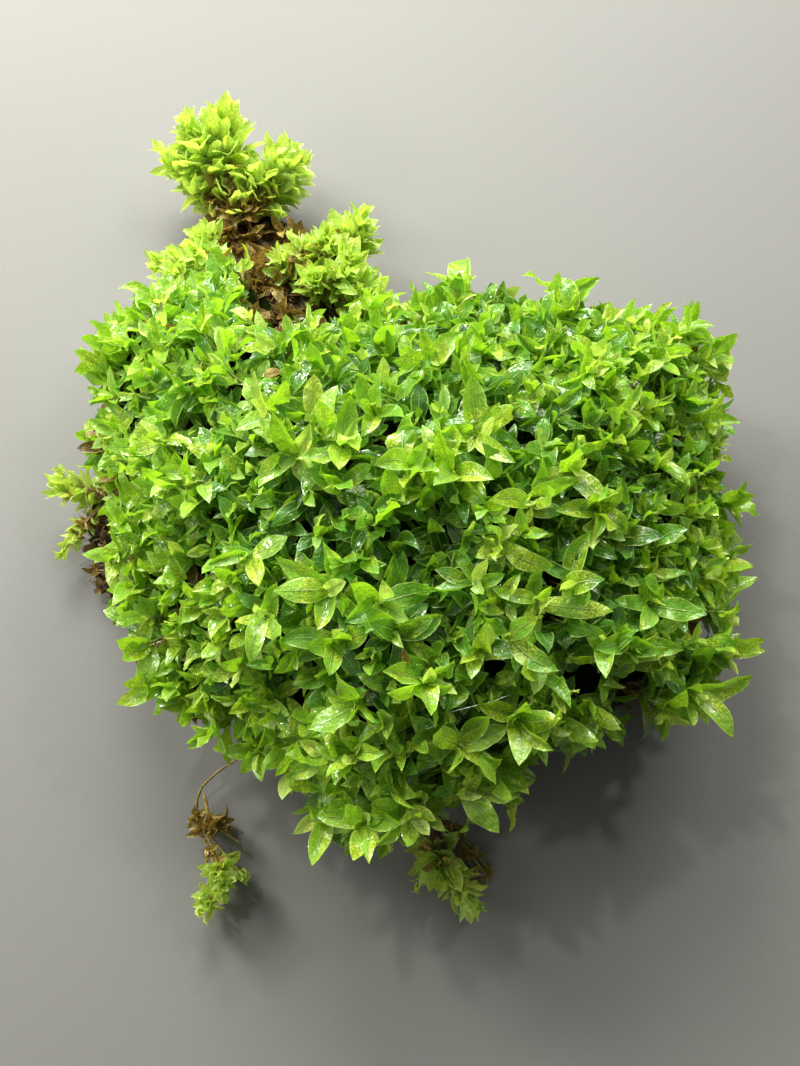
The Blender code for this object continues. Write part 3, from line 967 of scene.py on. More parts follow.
# A ring of older leaves: how many, how steep the first one stands and how far the pitch falls over
# the ring, how far pitch (in degrees) and bearing (in radians) stray, and their sizes.
Ring = namedtuple("Ring", "leaves pitch fall pitch_stray turn_stray sizes")
STAR = Ring(7, 52.0, 46.0, 20.0, 0.5, (0.68, 1.15))
UNDER = Ring(5, 18.0, 50.0, 10.0, 0.2, (0.75, 1.0))
INNER_LEAVES = 3                  # of the star's leaves, the ones nearest to its middle
WITHERED_SHARE = 0.60             # of the leaves under a star at the foot of the cushion
WITHERED_BELOW = 0.75             # of the peak's height
BODY_OF_LEAF = 0.7                # share of a leaf's length at which it is tested against a hollow
CLEAR_OF_SEEN = math.radians(46.0)
SEEN_STAR_SIZE = 1.25             # the stars that are clear in the photograph are the large ones
SEEN_LEAF_SIZES = (0.95, 1.1)     # share of the star's usual leaf
BURIED = 1.1 * MM                 # this far under the canopy, leaves also reach into the hollows
INTO_HOLLOW = 0.35 * MM
SHADE = 0.38                      # painted shade: tone that a leaf loses with each millimetre under the canopy
# Tone of the leaves beside that of their shoot: how much is added, lost over the ring, and strays.
SEEN_TONES = (0.0, 0.3)
YOUNG_TONE, YOUNG_TONE_STRAY = -0.15, 0.25
STAR_TONE, STAR_TONE_FALL, STAR_TONE_STRAY = 0.12, 0.15, 0.29
UNDER_TONE, UNDER_TONE_FALL, UNDER_TONE_SHARE = 0.05, 0.3, 0.6


def stray_vector(spread):
    """Short vector of chance length and direction."""
    return Vector([dice.gauss(0.0, spread) for _ in range(3)])


def shaped_leaf(base, tip, up, tone, width=LEAF_WIDTH, bend=-0.6, fold=0.28, stray=0.55):
    """Leaf between two points, with its own chance share of arch, twist, fold and waviness."""
    length = (tip - base).length
    roll = Matrix.Rotation(dice.gauss(0.0, stray), 3, (tip - base).normalized())
    return Leaf(
        base=tuple(base), tip=tuple(tip), up=tuple(roll @ up),
        width=length * width * dice.uniform(*LEAF_SIZES),
        bend=bend + dice.gauss(0.0, 0.60), sway=dice.gauss(0.0, 0.19), twist=dice.gauss(0.0, 0.50),
        fold=max(-0.35, fold + dice.gauss(0.0, 0.28)), wave=abs(dice.gauss(0.0, 0.26)),
        tone=tone, lot=dice.random())


def leaf_of_spiral(shoot, drop, bearing, pitch, length, sides):
    """Base and tip of a leaf that leaves the stem this far below the head."""
    base = shoot.head - shoot.axis * drop + stray_vector(LEAF_ASTRAY)
    outward = sides[0] * math.cos(bearing) + sides[1] * math.sin(bearing)
    return base, base + (outward * math.cos(pitch) + shoot.axis * math.sin(pitch)) * length


def in_shade(place):
    """Tone lost at a place as painted shade, from how far it is under the canopy."""
    return SHADE * max(0.0, canopy_height(place) + HEAD_LIFT - place.z) / MM


def turn_between(first, second):
    """Smallest angle between two bearings in radians."""
    return abs((first - second + math.pi) % (2.0 * math.pi) - math.pi)


# %% Grow the leaves


def grow_seen_leaves(shoot, length, sides, leaves):
    """Leaves whose tips are seen in the photograph. Returns their bearings round the stem."""
    bearings = []
    base = shoot.head - shoot.axis * LEAF_STEP * 2
    for pixel in shoot.tips:
        tip = tip_seen_at(pixel, base, length * dice.uniform(*SEEN_LEAF_SIZES))
        bearings.append(math.atan2((tip - base).dot(sides[1]), (tip - base).dot(sides[0])))
        up = (shoot.axis + (camera_place - base).normalized()).normalized()
        tone = shoot.tone + dice.uniform(*SEEN_TONES)
        slimness = min(1.0, LEAF_LENGTH * SEEN_STAR_SIZE / (tip - base).length)
        leaves.append(shaped_leaf(
            base, tip, up, tone, width=SEEN_LEAF_WIDTH * slimness, bend=-0.35, fold=0.2, stray=0.2))
    return bearings


def ring_leaf(shoot, length, sides, ring, share, bearing, drop):
    """Base and tip of the leaf of a ring that is this share of the way from its first to its last."""
    pitch = math.radians(ring.pitch - ring.fall * share + dice.gauss(0.0, ring.pitch_stray))
    return leaf_of_spiral(shoot, drop, bearing, pitch, length * dice.uniform(*ring.sizes), sides)


def grow_shoot(shoot, length):
    """Add the leaves of one shoot to the lists of young, inner, outer, under and old leaves."""
    side = shoot.axis.orthogonal().normalized()
    sides = (side, shoot.axis.cross(side))
    spin = dice.uniform(0.0, 2.0 * math.pi)
    seen_bearings = grow_seen_leaves(shoot, length, sides, inner_leaves)
    for order in range(YOUNG_LEAVES):
        pitch = math.radians(dice.uniform(*YOUNG_PITCHES))
        size = length * dice.uniform(*YOUNG_SIZES)
        base, tip = leaf_of_spiral(shoot, LEAF_STEP * order, spin + order * GOLDEN_TURN, pitch, size, sides)
        tone = shoot.tone + YOUNG_TONE + dice.uniform(-YOUNG_TONE_STRAY, YOUNG_TONE_STRAY) - in_shade(base)
        young_leaves.append(shaped_leaf(base, tip, shoot.axis, tone, width=0.50, bend=-0.2, fold=0.45))
    for order in range(STAR.leaves):
        share = order / (STAR.leaves - 1)
        bearing = spin + (order + YOUNG_LEAVES) * GOLDEN_TURN + dice.gauss(0.0, STAR.turn_stray)
        if any(turn_between(bearing, other) < CLEAR_OF_SEEN for other in seen_bearings):
            continue
        drop = LEAF_STEP * (order + YOUNG_LEAVES)
        base, tip = ring_leaf(shoot, length, sides, STAR, share, bearing, drop)
        tone = shoot.tone + STAR_TONE - STAR_TONE_FALL * share
        tone = tone + dice.uniform(-STAR_TONE_STRAY, STAR_TONE_STRAY) - in_shade(base)
        if not in_hollow(base.lerp(tip, BODY_OF_LEAF)):
            circle = inner_leaves if order < INNER_LEAVES else outer_leaves
            circle.append(shaped_leaf(base, tip, shoot.axis, tone))
    for order in range(UNDER.leaves):
        share = order / UNDER.leaves
        turns = order + YOUNG_LEAVES + STAR.leaves
        bearing = spin + turns * GOLDEN_TURN + dice.gauss(0.0, UNDER.turn_stray)
        drop = LEAF_STEP * (YOUNG_LEAVES + STAR.leaves + order * 2)
        base, tip = ring_leaf(shoot, length, sides, UNDER, share, bearing, drop)
        tone = shoot.tone * UNDER_TONE_SHARE + UNDER_TONE - UNDER_TONE_FALL * share - in_shade(base)
        lowness = max(0.0, WITHERED_BELOW - base.z / PEAK_HEIGHT)
        kind = old_leaves if dice.random() < WITHERED_SHARE * lowness * (0.3 + share) else under_leaves
        buried = canopy_height(base) - base.z > BURIED
        if not in_hollow(base.lerp(tip, BODY_OF_LEAF), -INTO_HOLLOW if buried else 0.0):
            kind.append(shaped_leaf(base, tip, shoot.axis, tone, bend=-0.9))


young_leaves, inner_leaves, outer_leaves, under_leaves, old_leaves = [], [], [], [], []
for number, shoot in enumerate(shoots):
    star_size = SEEN_STAR_SIZE if number < len(SEEN_STARS) else 1.0
    grow_shoot(shoot, LEAF_LENGTH * star_size * dice.uniform(*LEAF_SIZES))
print("young, inner, outer, under and old leaves:", len(young_leaves), len(inner_leaves),
      len(outer_leaves), len(under_leaves), len(old_leaves))

# %% Add the leaves that stand out by their colour
# Pixels of the leaf's base and tip, its length in millimetres, its kind and its tone.
SINGLE_LEAVES = {
    "yellow_leaf": ((310, 412), (314, 374), 2.0, young_leaves, 1.5),
    "small_yellow_leaf": ((583, 722), (584, 704), 1.0, young_leaves, 1.6),
    "small_yellow_leaf_right": ((698, 706), (699, 690), 1.0, young_leaves, 1.6),
    "pinkish_tip": ((408, 664), (402, 648), 0.9, old_leaves, 1.1),
    "clear_brown_leaf": ((282, 764), (314, 760), 1.7, old_leaves, 0.9),
    "old_leaf_behind": ((264, 375), (282, 371), 1.1, old_leaves, 1.05),
    "pale_leaf_under_rim": ((292, 776), (282, 800), 1.8, young_leaves, 1.0),
}
for base_pixel, tip_pixel, length, kind, tone in SINGLE_LEAVES.values():
    base = seen_at(base_pixel, HEAD_LIFT)
    tip = tip_seen_at(tip_pixel, base, length * MM)
    up = (camera_place - base).normalized()
    kind.append(shaped_leaf(base, tip, up, tone, width=0.5, bend=-0.3, fold=0.2, stray=0.15))
print("single leaves:", len(SINGLE_LEAVES))

# %% Make the cushion's leaf pieces
# A star is split over two pieces, because one piece may not have more than 200,000 triangles.
pieces = [
    ("cushion_young_leaves", young_leaves, FINE_LEAF, young_finish, "young_moss_leaves"),
    ("cushion_inner_leaves", inner_leaves, FINE_LEAF, mature_finish, "moss_leaves"),
    ("cushion_outer_leaves", outer_leaves, FINE_LEAF, mature_finish, "moss_leaves"),
    ("cushion_under_leaves", under_leaves, PLAIN_LEAF, mature_finish, "moss_leaves"),
    ("cushion_old_leaves", old_leaves, PLAIN_LEAF, old_finish, "old_moss_leaves"),
]
for name, leaves, flat, finish, slot in pieces:
    piece = join_batches(name, [leaf_batch(leaves, flat)], [finish])
    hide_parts("moss_cushion")

# %% [markdown]
# ## Stems
#
# Each shoot stands on a stem that is green near its head and red-brown below. They hardly show from
# above, but between the leaves at the sides they do.

# %% Finish and shape of the stems
STEM_RADIUS = 0.13 * MM
STEM_LENGTH = 3.4 * MM
STEM_STATIONS = 5
STEM_INWARD = 0.16                # share of the way to the cushion's middle that each foot is drawn
STEM_LEAN, STEM_RISE = 0.7, 0.3   # how much the stem follows the shoot's lean, and how much it stands up
STEM_BOW = 0.2                    # in millimetres, as the next one is
STEM_PAST_HEAD = 0.1
STEM_FOOT_GAP = 0.2 * MM          # at least this far over the soil

stem_finish = streaked_finish(
    "mossy_stem", [(0.0, 0.035, 0.016, 0.007), (0.5, 0.13, 0.06, 0.02), (1.0, 0.20, 0.30, 0.04)],
    scale=3000.0, detail=3.0, roughness=0.42, depth=0.04 * MM, strength=0.6,
    source=lambda tree: leaf_map(tree)[1], swing=0.6)


def bent_path(start, end, sag, stations):
    """Points from start to end that bow sideways by a vector."""
    return [tuple(start.lerp(end, share) + sag * math.sin(math.pi * share))
            for share in np.linspace(0.0, 1.0, stations)]


stem_paths = []
for shoot in shoots:
    foot = shoot.head - (shoot.axis * STEM_LEAN + UP * STEM_RISE).normalized() * STEM_LENGTH
    foot = foot.lerp(Vector((PEAK_PLACE.x, PEAK_PLACE.y, foot.z)), STEM_INWARD)
    foot.z = max(foot.z, SOIL_TOP + STEM_FOOT_GAP)
    bow = stray_vector(STEM_BOW) * MM
    stem_paths.append(bent_path(foot, shoot.head + shoot.axis * STEM_PAST_HEAD * MM, bow, STEM_STATIONS))
count = len(stem_paths)
stems = join_batches("cushion_stems", [tube_batch(
    stem_paths, STEM_RADIUS, 5, [0.5] * count, [dice.random() for _ in range(count)])], [stem_finish])
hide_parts("moss_cushion")

# %% [markdown]
# ## Tufts and sprigs
#
# Five small groups of shoots lean out around the cushion. Their stems follow the solid model's
# points, and leaves spiral along the upper part of each stem, longer and more open the lower they
# sit. Each group is one piece that stands for its solid.

# %% Stems of the tufts and sprigs
# Points of each stem in millimetres, reach of its leaves, how far its head leans out, how many
# shoots stand together on it, how far they spread, and how many fresh and withered leaves each has.
SPRIGS = {
    "back_left_tuft": [
        ([(-10.4, 23.0, 2.9), (-12.4, 25.2, 3.2), (-14.0, 27.0, 3.8)], 2.3, 0.8, 5, 1.0, 20, 8),
        ([(-10.2, 23.2, 2.9), (-11.3, 26.0, 3.9), (-12.0, 28.7, 4.9)], 2.7, 0.8, 6, 1.3, 24, 10),
        ([(-10.2, 23.2, 2.9), (-12.0, 26.0, 3.8), (-13.6, 28.2, 4.6)], 2.3, 0.8, 3, 0.8, 20, 4),
        ([(-10.0, 23.0, 2.9), (-8.6, 25.2, 3.6), (-7.4, 27.3, 4.2)], 2.5, 0.8, 6, 1.0, 22, 12),
        ([(-10.2, 23.0, 2.9), (-10.2, 24.4, 3.4), (-10.1, 25.8, 3.9)], 2.1, 0.6, 4, 0.9, 17, 6),
        ([(-10.6, 22.6, 2.4), (-11.9, 21.9, 3.2), (-12.8, 21.4, 4.2)], 1.9, 0.35, 4, 1.0, 17, 8),
        ([(-10.8, 22.0, 2.2), (-12.3, 20.6, 3.2), (-13.8, 19.6, 4.6)], 2.1, 0.3, 4, 1.3, 17, 4),
    ],
    "back_tuft": [
        ([(-5.2, 19.2, 3.0), (-4.2, 20.8, 3.8), (-3.2, 22.0, 4.4)], 2.3, 0.6, 4, 1.2, 17, 6),
        ([(-5.2, 19.2, 3.0), (-5.0, 20.4, 3.8), (-4.7, 21.2, 4.6)], 2.0, 0.5, 3, 1.0, 17, 6),
        ([(-5.2, 19.0, 3.0), (-6.0, 20.2, 3.6), (-6.6, 20.9, 4.0)], 2.1, 0.4, 3, 1.1, 17, 8),
        ([(-5.0, 18.8, 2.8), (-4.2, 18.6, 3.6), (-3.3, 18.7, 4.8)], 2.3, 0.4, 4, 1.4, 17, 4),
        ([(-4.6, 18.4, 2.8), (-3.6, 18.0, 3.6), (-2.4, 17.8, 4.6)], 2.2, 0.4, 3, 1.1, 17, 4),
        ([(-4.8, 18.4, 2.6), (-5.0, 18.3, 3.6), (-5.3, 18.1, 4.8)], 2.1, 0.3, 3, 0.9, 17, 6),
    ],
    "left_sprig": [
        ([(-17.6, 4.6, 2.9), (-19.2, 5.2, 2.9), (-20.8, 5.7, 2.8)], 1.8, 0.8, 3, 0.8, 17, 7),
        ([(-17.6, 4.4, 2.9), (-18.8, 3.4, 2.7), (-19.6, 2.4, 2.4)], 1.4, 0.8, 2, 1.0, 14, 12),
    ],
    "front_left_sprig": [
        ([(-7.8, -9.6, 1.2), (-11.4, -12.0, 0.9), (-11.7, -14.2, 0.9), (-10.5, -16.8, 1.3),
          (-10.9, -18.7, 2.1)], 1.6, 0.35, 2, 0.2, 12, 14),
        ([(-11.4, -12.6, 0.9), (-11.0, -14.1, 0.8), (-9.4, -15.2, 0.6)], 1.9, 0.8, 3, 0.9, 0, 15),
        ([(-11.3, -14.6, 0.8), (-10.5, -16.2, 1.2), (-10.1, -17.1, 2.0)], 1.9, 0.35, 3, 0.7, 14, 2),
        ([(-11.2, -14.6, 0.8), (-9.9, -16.2, 0.9), (-9.0, -17.2, 1.4)], 1.3, 0.6, 1, 0.0, 11, 0),
    ],
    "front_sprig": [
        ([(1.6, -13.0, 1.3), (1.9, -15.0, 1.6), (2.4, -16.6, 2.2)], 2.2, 0.5, 4, 0.9, 15, 3),
        ([(1.9, -14.8, 1.4), (1.7, -16.4, 1.4), (1.0, -17.7, 1.6)], 1.3, 0.8, 1, 0.0, 12, 1),
        ([(1.6, -13.0, 1.3), (2.8, -16.0, 1.4), (4.0, -18.6, 1.7)], 1.8, 0.85, 3, 0.4, 17, 1),
        ([(1.6, -13.0, 1.3), (3.4, -14.8, 0.9), (5.0, -16.7, 0.8)], 1.6, 0.8, 3, 0.7, 0, 16),
    ],
}
print("stems that the shoots follow:", {name: len(stems) for name, stems in SPRIGS.items()})

# %% How the tufts and sprigs vary
SPRIG_LEAVES = 17                 # over which a stem's leaves go from youngest to oldest
SPRIG_STEP = 0.17 * MM
SPRIG_PITCH, SPRIG_PITCH_FALL, SPRIG_PITCH_STRAY = 78.0, 52.0, 9.0
SPRIG_TURN_STRAY, SPRIG_TONE_STRAY = 0.2, 0.2
SPRIG_SIZES = (0.8, 1.05)
YOUNGEST_SIZE, SIZE_GAIN = 0.5, 0.45          # of the reach of the leaves, and what older ones gain
SPRIG_TONE_FALL = 0.95            # tone that the oldest, lowest leaf has less than the youngest: darker with age and painted shade
SPRIG_STEM_RADIUS = 0.12 * MM
BARE_STEM_SPRIG = "front_left_sprig"          # its stem is brown and has no leaves near the cushion
BARE_STEM_RADIUS = 0.07 * MM
COMPANION_SHIFTS = ((-1.0, 1.0), (-0.9, 0.5), (-0.5, 0.7))
SPRIG_STEM_STATIONS = 12
# First and last station of a stem between which its withered leaves sit.
WITHERED_PART = {"back_left_tuft": (1, 6), "back_tuft": (1, 9), "left_sprig": (1, 9),
                 "front_left_sprig": (5, 8), "front_sprig": (4, 12)}
LOWEST_LEAF = 0.15 * MM
# Tone of the youngest leaf of each group.
HEAD_TONE = {"back_left_tuft": 2.0, "back_tuft": 1.1, "left_sprig": 2.6,
             "front_left_sprig": 3.3, "front_sprig": 2.2}
WITHERED_TONES = (0.2, 1.1)
WITHERED_TONE_RISE = 0.09         # with each station up the stem
WITHERED_RISE = 0.6               # how much a withered leaf still follows the stem's way
SHORTEST_WITHERED = 0.6           # in millimetres
LONGEST_WITHERED = 0.62           # of the reach of the fresh ones
FRESH_FINISH, WITHERED_FINISH, STEM_FINISH = 0, 1, 2     # numbers of the materials of a sprig


def smooth_stem(points, shift):
    """Points along a smooth curve through the stem's points, pushed sideways more and more."""
    ends = [points[0] * 2 - points[1], *points, points[-1] * 2 - points[-2]]
    places = []
    for number in range(SPRIG_STEM_STATIONS):
        share = number / (SPRIG_STEM_STATIONS - 1)
        span = min(int(share * (len(points) - 1)), len(points) - 2)
        before, start, end, after = ends[span:span + 4]
        t = share * (len(points) - 1) - span
        place = (start * 2 + (end - before) * t + (before * 2 - start * 5 + end * 4 - after) * t ** 2
                 + (start * 3 - before - end * 3 + after) * t ** 3) / 2
        place = place + shift * share
        place.z = max(place.z, SPRIG_STEM_RADIUS)
        places.append(place)
    return places


# %% Grow the tufts and sprigs


def grow_sprig(name, stems_of_sprig):
    """Leaves and stems of one group, joined."""
    fresh, withered, paths = [], [], []
    for stem_points, reach, lean, companions, spread, fresh_leaves, withered_leaves in stems_of_sprig:
        for companion in range(companions):
            shift = Vector([dice.uniform(*limits) for limits in COMPANION_SHIFTS])
            shift *= spread * MM if companion else 0.0
            path = smooth_stem([Vector(point) * MM for point in stem_points], shift)
            heading = (path[-1] - path[-2]).normalized()
            axis = (heading * lean + UP * (1.0 - lean)).normalized()
            side = axis.orthogonal().normalized()
            shoot = Shoot(path[-1], axis, [], 0.0)
            for order in range(fresh_leaves):
                share = order / SPRIG_LEAVES
                pitch = SPRIG_PITCH - SPRIG_PITCH_FALL * share ** 0.6 + dice.gauss(0.0, SPRIG_PITCH_STRAY)
                size = reach * MM * (YOUNGEST_SIZE + SIZE_GAIN * min(1.0, share * 3.0))
                size *= dice.uniform(*SPRIG_SIZES)
                bearing = order * GOLDEN_TURN + dice.gauss(0.0, SPRIG_TURN_STRAY)
                base, tip = leaf_of_spiral(
                    shoot, SPRIG_STEP * order, bearing, math.radians(pitch), size, (side, axis.cross(side)))
                if base.z < LOWEST_LEAF:
                    break
                tip.z = max(tip.z, LOWEST_LEAF)
                tone = HEAD_TONE[name] - SPRIG_TONE_FALL * share
                tone += dice.uniform(-SPRIG_TONE_STRAY, SPRIG_TONE_STRAY)
                fresh.append(shaped_leaf(base, tip, axis, tone, bend=-0.4))
            for _ in range(withered_leaves):
                station = dice.randrange(*WITHERED_PART[name])
                base = path[station]
                outward = stray_vector(1.0).normalized()
                length = dice.uniform(SHORTEST_WITHERED, LONGEST_WITHERED * reach)
                tip = base + (outward + axis * WITHERED_RISE).normalized() * length * MM
                tip.z = max(tip.z, LOWEST_LEAF)
                tone = dice.uniform(*WITHERED_TONES) + WITHERED_TONE_RISE * station
                withered.append(shaped_leaf(base, tip, axis, tone, bend=-1.0))
            paths.append([tuple(place) for place in path])
    chances = [dice.random() for _ in paths]
    bare = name == BARE_STEM_SPRIG
    radius = BARE_STEM_RADIUS if bare else SPRIG_STEM_RADIUS
    bark = WITHERED_FINISH if bare else STEM_FINISH
    piece = join_batches(name + "_shoots", [
        leaf_batch(fresh, FINE_LEAF, FRESH_FINISH),
        leaf_batch(withered, FINE_LEAF, WITHERED_FINISH),
        tube_batch(paths, radius, 6, [0.9] * len(paths), chances, bark),
    ], [young_finish, old_finish, stem_finish])
    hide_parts(name)


for name, stems_of_sprig in SPRIGS.items():
    grow_sprig(name, stems_of_sprig)

# %% [markdown]
# ## The soil
#
# Under the cushion is a mat of damp crumbly soil. A copy of the solid is remeshed into small even
# faces, and every corner that isn't on the flat underside is pushed in or out by noise at two sizes:
# lumps, and the crumbs on them.

# %% Crumble a copy of the soil
SOIL_VOXEL = 0.24 * MM
LUMP_WIDTH = 1.9 * MM
LUMP_DEPTH = 0.40 * MM
CRUMB_WIDTH = 0.55 * MM
CRUMB_DEPTH = 0.34 * MM
CRUMB_STEPS, CRUMB_RIDGES, CRUMB_LEVEL = 0.4, 1.6, 0.6
FLAT_BELOW = 0.15 * MM            # corners this low belong to the flat underside
SAME_CORNER = 0.001 * MM

soil_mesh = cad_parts["soil_mat"].data.copy()
shape = bmesh.new()
shape.from_mesh(soil_mesh)
bmesh.ops.remove_doubles(shape, verts=shape.verts[:], dist=SAME_CORNER)
shape.to_mesh(soil_mesh)
shape.free()
soil_mesh.materials.clear()
soil = bpy.data.objects.new("soil_crust", soil_mesh)
bpy.context.collection.objects.link(soil)
bpy.ops.object.select_all(action="DESELECT")
soil.select_set(True)
bpy.context.view_layer.objects.active = soil
voxels = soil.modifiers.new("Even faces", "REMESH")
voxels.mode = "VOXEL"
voxels.voxel_size = SOIL_VOXEL
voxels.use_smooth_shade = True
bpy.ops.object.modifier_apply(modifier=voxels.name)
crumbled = []
for corner in soil.data.vertices:
    place = corner.co.copy()
    if place.z > FLAT_BELOW:
        lump = noise.noise(place / LUMP_WIDTH) * LUMP_DEPTH
        crumb = (noise.cell(place / CRUMB_WIDTH) * CRUMB_STEPS
                 + abs(noise.noise(place / CRUMB_WIDTH)) * CRUMB_RIDGES - CRUMB_LEVEL) * CRUMB_DEPTH
        place += corner.normal * (lump + crumb)
        place.z = max(place.z, 0.0)
    else:
        place.z = 0.0
    crumbled.append(tuple(place))
soil.data.vertices.foreach_set("co", np.array(crumbled).ravel())
soil.data.update()
soil.data.shade_smooth()
print("soil crust:", len(soil.data.polygons), "faces")

# %% Soil finish
soil_finish, tree = new_material("damp_soil")
place = object_place(tree)
lumps = noise_of(tree, place, 480.0, 8.0, {"Roughness": 0.65})
fuzz = noise_of(tree, place, 4200.0, 3.0, {"Distortion": 1.5})
grit = fade(tree, from_cell(tree, place, 3600.0), 0.30, 0.12)
level = math_node(tree, "MULTIPLY_ADD", fuzz, 0.45, math_node(tree, "MULTIPLY_ADD", lumps, 1.0, -0.22))
soil_color = color_ramp(tree, level, (0.34, 0.008, 0.005, 0.0015), (0.47, 0.035, 0.022, 0.005),
                        (0.60, 0.105, 0.062, 0.013), (0.75, 0.26, 0.16, 0.035))
relief = math_node(tree, "MULTIPLY_ADD", grit, 0.3, math_node(tree, "ADD", lumps, fuzz))
finish_material(tree, shader(
    tree, "Principled", Base_Color=tint(tree, soil_color, (0.30, 0.20, 0.06), grit, 0.30),
    Roughness=math_node(tree, "MULTIPLY_ADD", lumps, -0.5, 0.98), Specular_IOR_Level=0.25,
    Normal=bump(tree, relief, 0.22 * MM)))
soil.data.materials.append(soil_finish)
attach(soil, "root")
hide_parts("soil_mat")
print("soil finish ready")

# %% [markdown]
# ## Rhizoids and litter
#
# Brown rhizoids felt the soil together and fringe the cushion's lower edge, and withered leaves lie
# between them. Both start on something solid: a ray is shot at the soil or at the cushion's heart
# from outside, and where it lands a hair-fine tube or an old leaf begins.

# %% Find places on the soil and on the heart
RAY_START = 40.0 * MM
SOIL_SIDE = (0.2 * MM, 3.9 * MM)  # heights between which rays land on the soil's side
HEART_SIDE = (4.3 * MM, 6.5 * MM)
SOIL_SIDE_RAYS, HEART_SIDE_RAYS, OPEN_SOIL_RAYS, HOLLOW_RAYS = 1300, 620, 2600, 60
UNDER_RIM = 2.5 * MM              # how far under the cushion's edge open soil is still felted
NARROWEST_STRIP = 0.4 * MM
HAIR_LEAN = 0.3                   # how much a hair leans out beside the surface's own direction
HOLLOW_SPREAD = 1.2               # of a hollow's width, within which its rays fall
bpy.context.view_layer.update()


def level_way(bearing):
    """Level direction at a bearing."""
    return Vector((math.cos(math.radians(bearing)), math.sin(math.radians(bearing)), 0.0))


def landings(target, rays):
    """Place and surface direction wherever a ray, given by its start and its way, meets a piece."""
    hits = [target.ray_cast(start, way) for start, way in rays]
    return [(place, normal) for hit, place, normal, _ in hits if hit]


def side_landings(target, heights, count):
    """Where level rays from all sides land, with a way that leans out from the cushion's middle."""
    found = []
    for _ in range(count):
        outward = level_way(dice.uniform(0.0, 360.0))
        start = PEAK_PLACE + outward * RAY_START + UP * dice.uniform(*heights)
        found += [(place, (normal + outward * HAIR_LEAN).normalized())
                  for place, normal in landings(target, [(start, -outward)])]
    return found


def open_soil_rays(count):
    """Rays straight down on the soil where no part of the cushion covers it."""
    for _ in range(count):
        bearing = dice.uniform(0.0, 360.0)
        edge = around(SOIL_OUTLINE, bearing, 1)
        inner = min(edge, around(CUSHION_OUTLINE, bearing, 1) - UNDER_RIM)
        reach = inner + (edge - inner) * dice.random()
        if edge - inner > NARROWEST_STRIP:
            yield PEAK_PLACE + level_way(bearing) * reach + UP * RAY_START, -UP


def hollow_rays(hollow, count):
    """Rays straight down into one of the hollows."""
    middle, _, width = hollow
    for _ in range(count):
        shift = [dice.uniform(-HOLLOW_SPREAD, HOLLOW_SPREAD) for _ in range(2)]
        yield Vector((*(middle + Vector((*shift, 0.0)) * width).xy, RAY_START)), -UP


soil_sides = side_landings(soil, SOIL_SIDE, SOIL_SIDE_RAYS)
heart_sides = side_landings(heart, HEART_SIDE, HEART_SIDE_RAYS)
soil_tops = landings(soil, open_soil_rays(OPEN_SOIL_RAYS))
heart_tops = [spot for hollow in hollows[-len(BROWN_HOLLOWS):]
              for spot in landings(heart, hollow_rays(hollow, HOLLOW_RAYS))]
print("places on soil sides, heart sides and open soil:", len(soil_sides), len(heart_sides), len(soil_tops))

# %% Grow the rhizoids
RHIZOID_RADIUS = 0.03 * MM
RHIZOID_STATIONS = 6
RHIZOID_STEPS = (0.14, 0.34)      # in millimetres
RHIZOID_CURL = 0.55
RHIZOID_SAG = 0.15
LOWEST_RHIZOID = 0.06 * MM
ROOT_DEPTH = 0.1                  # in millimetres: how deep a hair or a dead leaf starts

felt_finish = streaked_finish(
    "rhizoid_felt", [(0.0, 0.035, 0.018, 0.005), (0.55, 0.17, 0.095, 0.022), (1.0, 0.40, 0.27, 0.08)],
    scale=2500.0, detail=2.0, roughness=0.55, depth=0.02 * MM, strength=0.5,
    source=lambda tree: own_value(tree, "lot"), swing=0.8)


def wandering_path(place, heading):
    """Hair-fine path that starts inside the surface, curls at random and sinks a little."""
    place = place - heading * ROOT_DEPTH * MM
    path = []
    for _ in range(RHIZOID_STATIONS):
        path.append(tuple(place))
        heading = (heading + stray_vector(RHIZOID_CURL) - UP * RHIZOID_SAG).normalized()
        place = place + heading * dice.uniform(*RHIZOID_STEPS) * MM
        place.z = max(place.z, LOWEST_RHIZOID)
    return path


rhizoid_paths = [wandering_path(place, way)
                 for place, way in soil_sides + heart_sides + soil_tops + heart_tops]
chances = [dice.random() for _ in rhizoid_paths]
rhizoids = join_batches("rhizoids", [tube_batch(
    rhizoid_paths, RHIZOID_RADIUS, 3, [0.4] * len(chances), chances)], [felt_finish])

# %% [markdown]
# ### Old leaves on the soil and under the green ones
#
# Leaves that have died turn olive and brown. Short worn ones lie on the soil, and longer ones hang
# in a skirt under the cushion's green rim.

# %% Drop the litter and hang the skirt
LITTER_LEAVES = 760
SKIRT_LEAVES = 520
PATCH_LEAVES = 240
PATCH_PLACE = Vector((-9.6, 21.6, 0.0)) * MM   # of a thick patch of dead leaves beside the tall tuft
PATCH_WIDTH = 3.4 * MM
SKIRT_SAG, SKIRT_STRAY = (-1.4, 0.3), 0.4
SKIRT_LENGTHS = (1.2, 2.2)        # in millimetres
SKIRT_TONES = (-0.1, 0.8)

litter = []


def lay_leaf(place, normal, rises, lengths, tones):
    """Worn leaf that starts in a surface and lies along it, rising by a share of its length."""
    rise, length, tone = dice.uniform(*rises), dice.uniform(*lengths) * MM, dice.uniform(*tones)
    stray = stray_vector(1.0)
    flat_way = (stray - normal * stray.dot(normal)).normalized()
    tip = place + (flat_way + normal * rise).normalized() * length
    tip.z = max(tip.z, LOWEST_LEAF)
    litter.append(shaped_leaf(place - normal * ROOT_DEPTH * MM, tip, normal, tone, width=0.42, bend=-0.9))


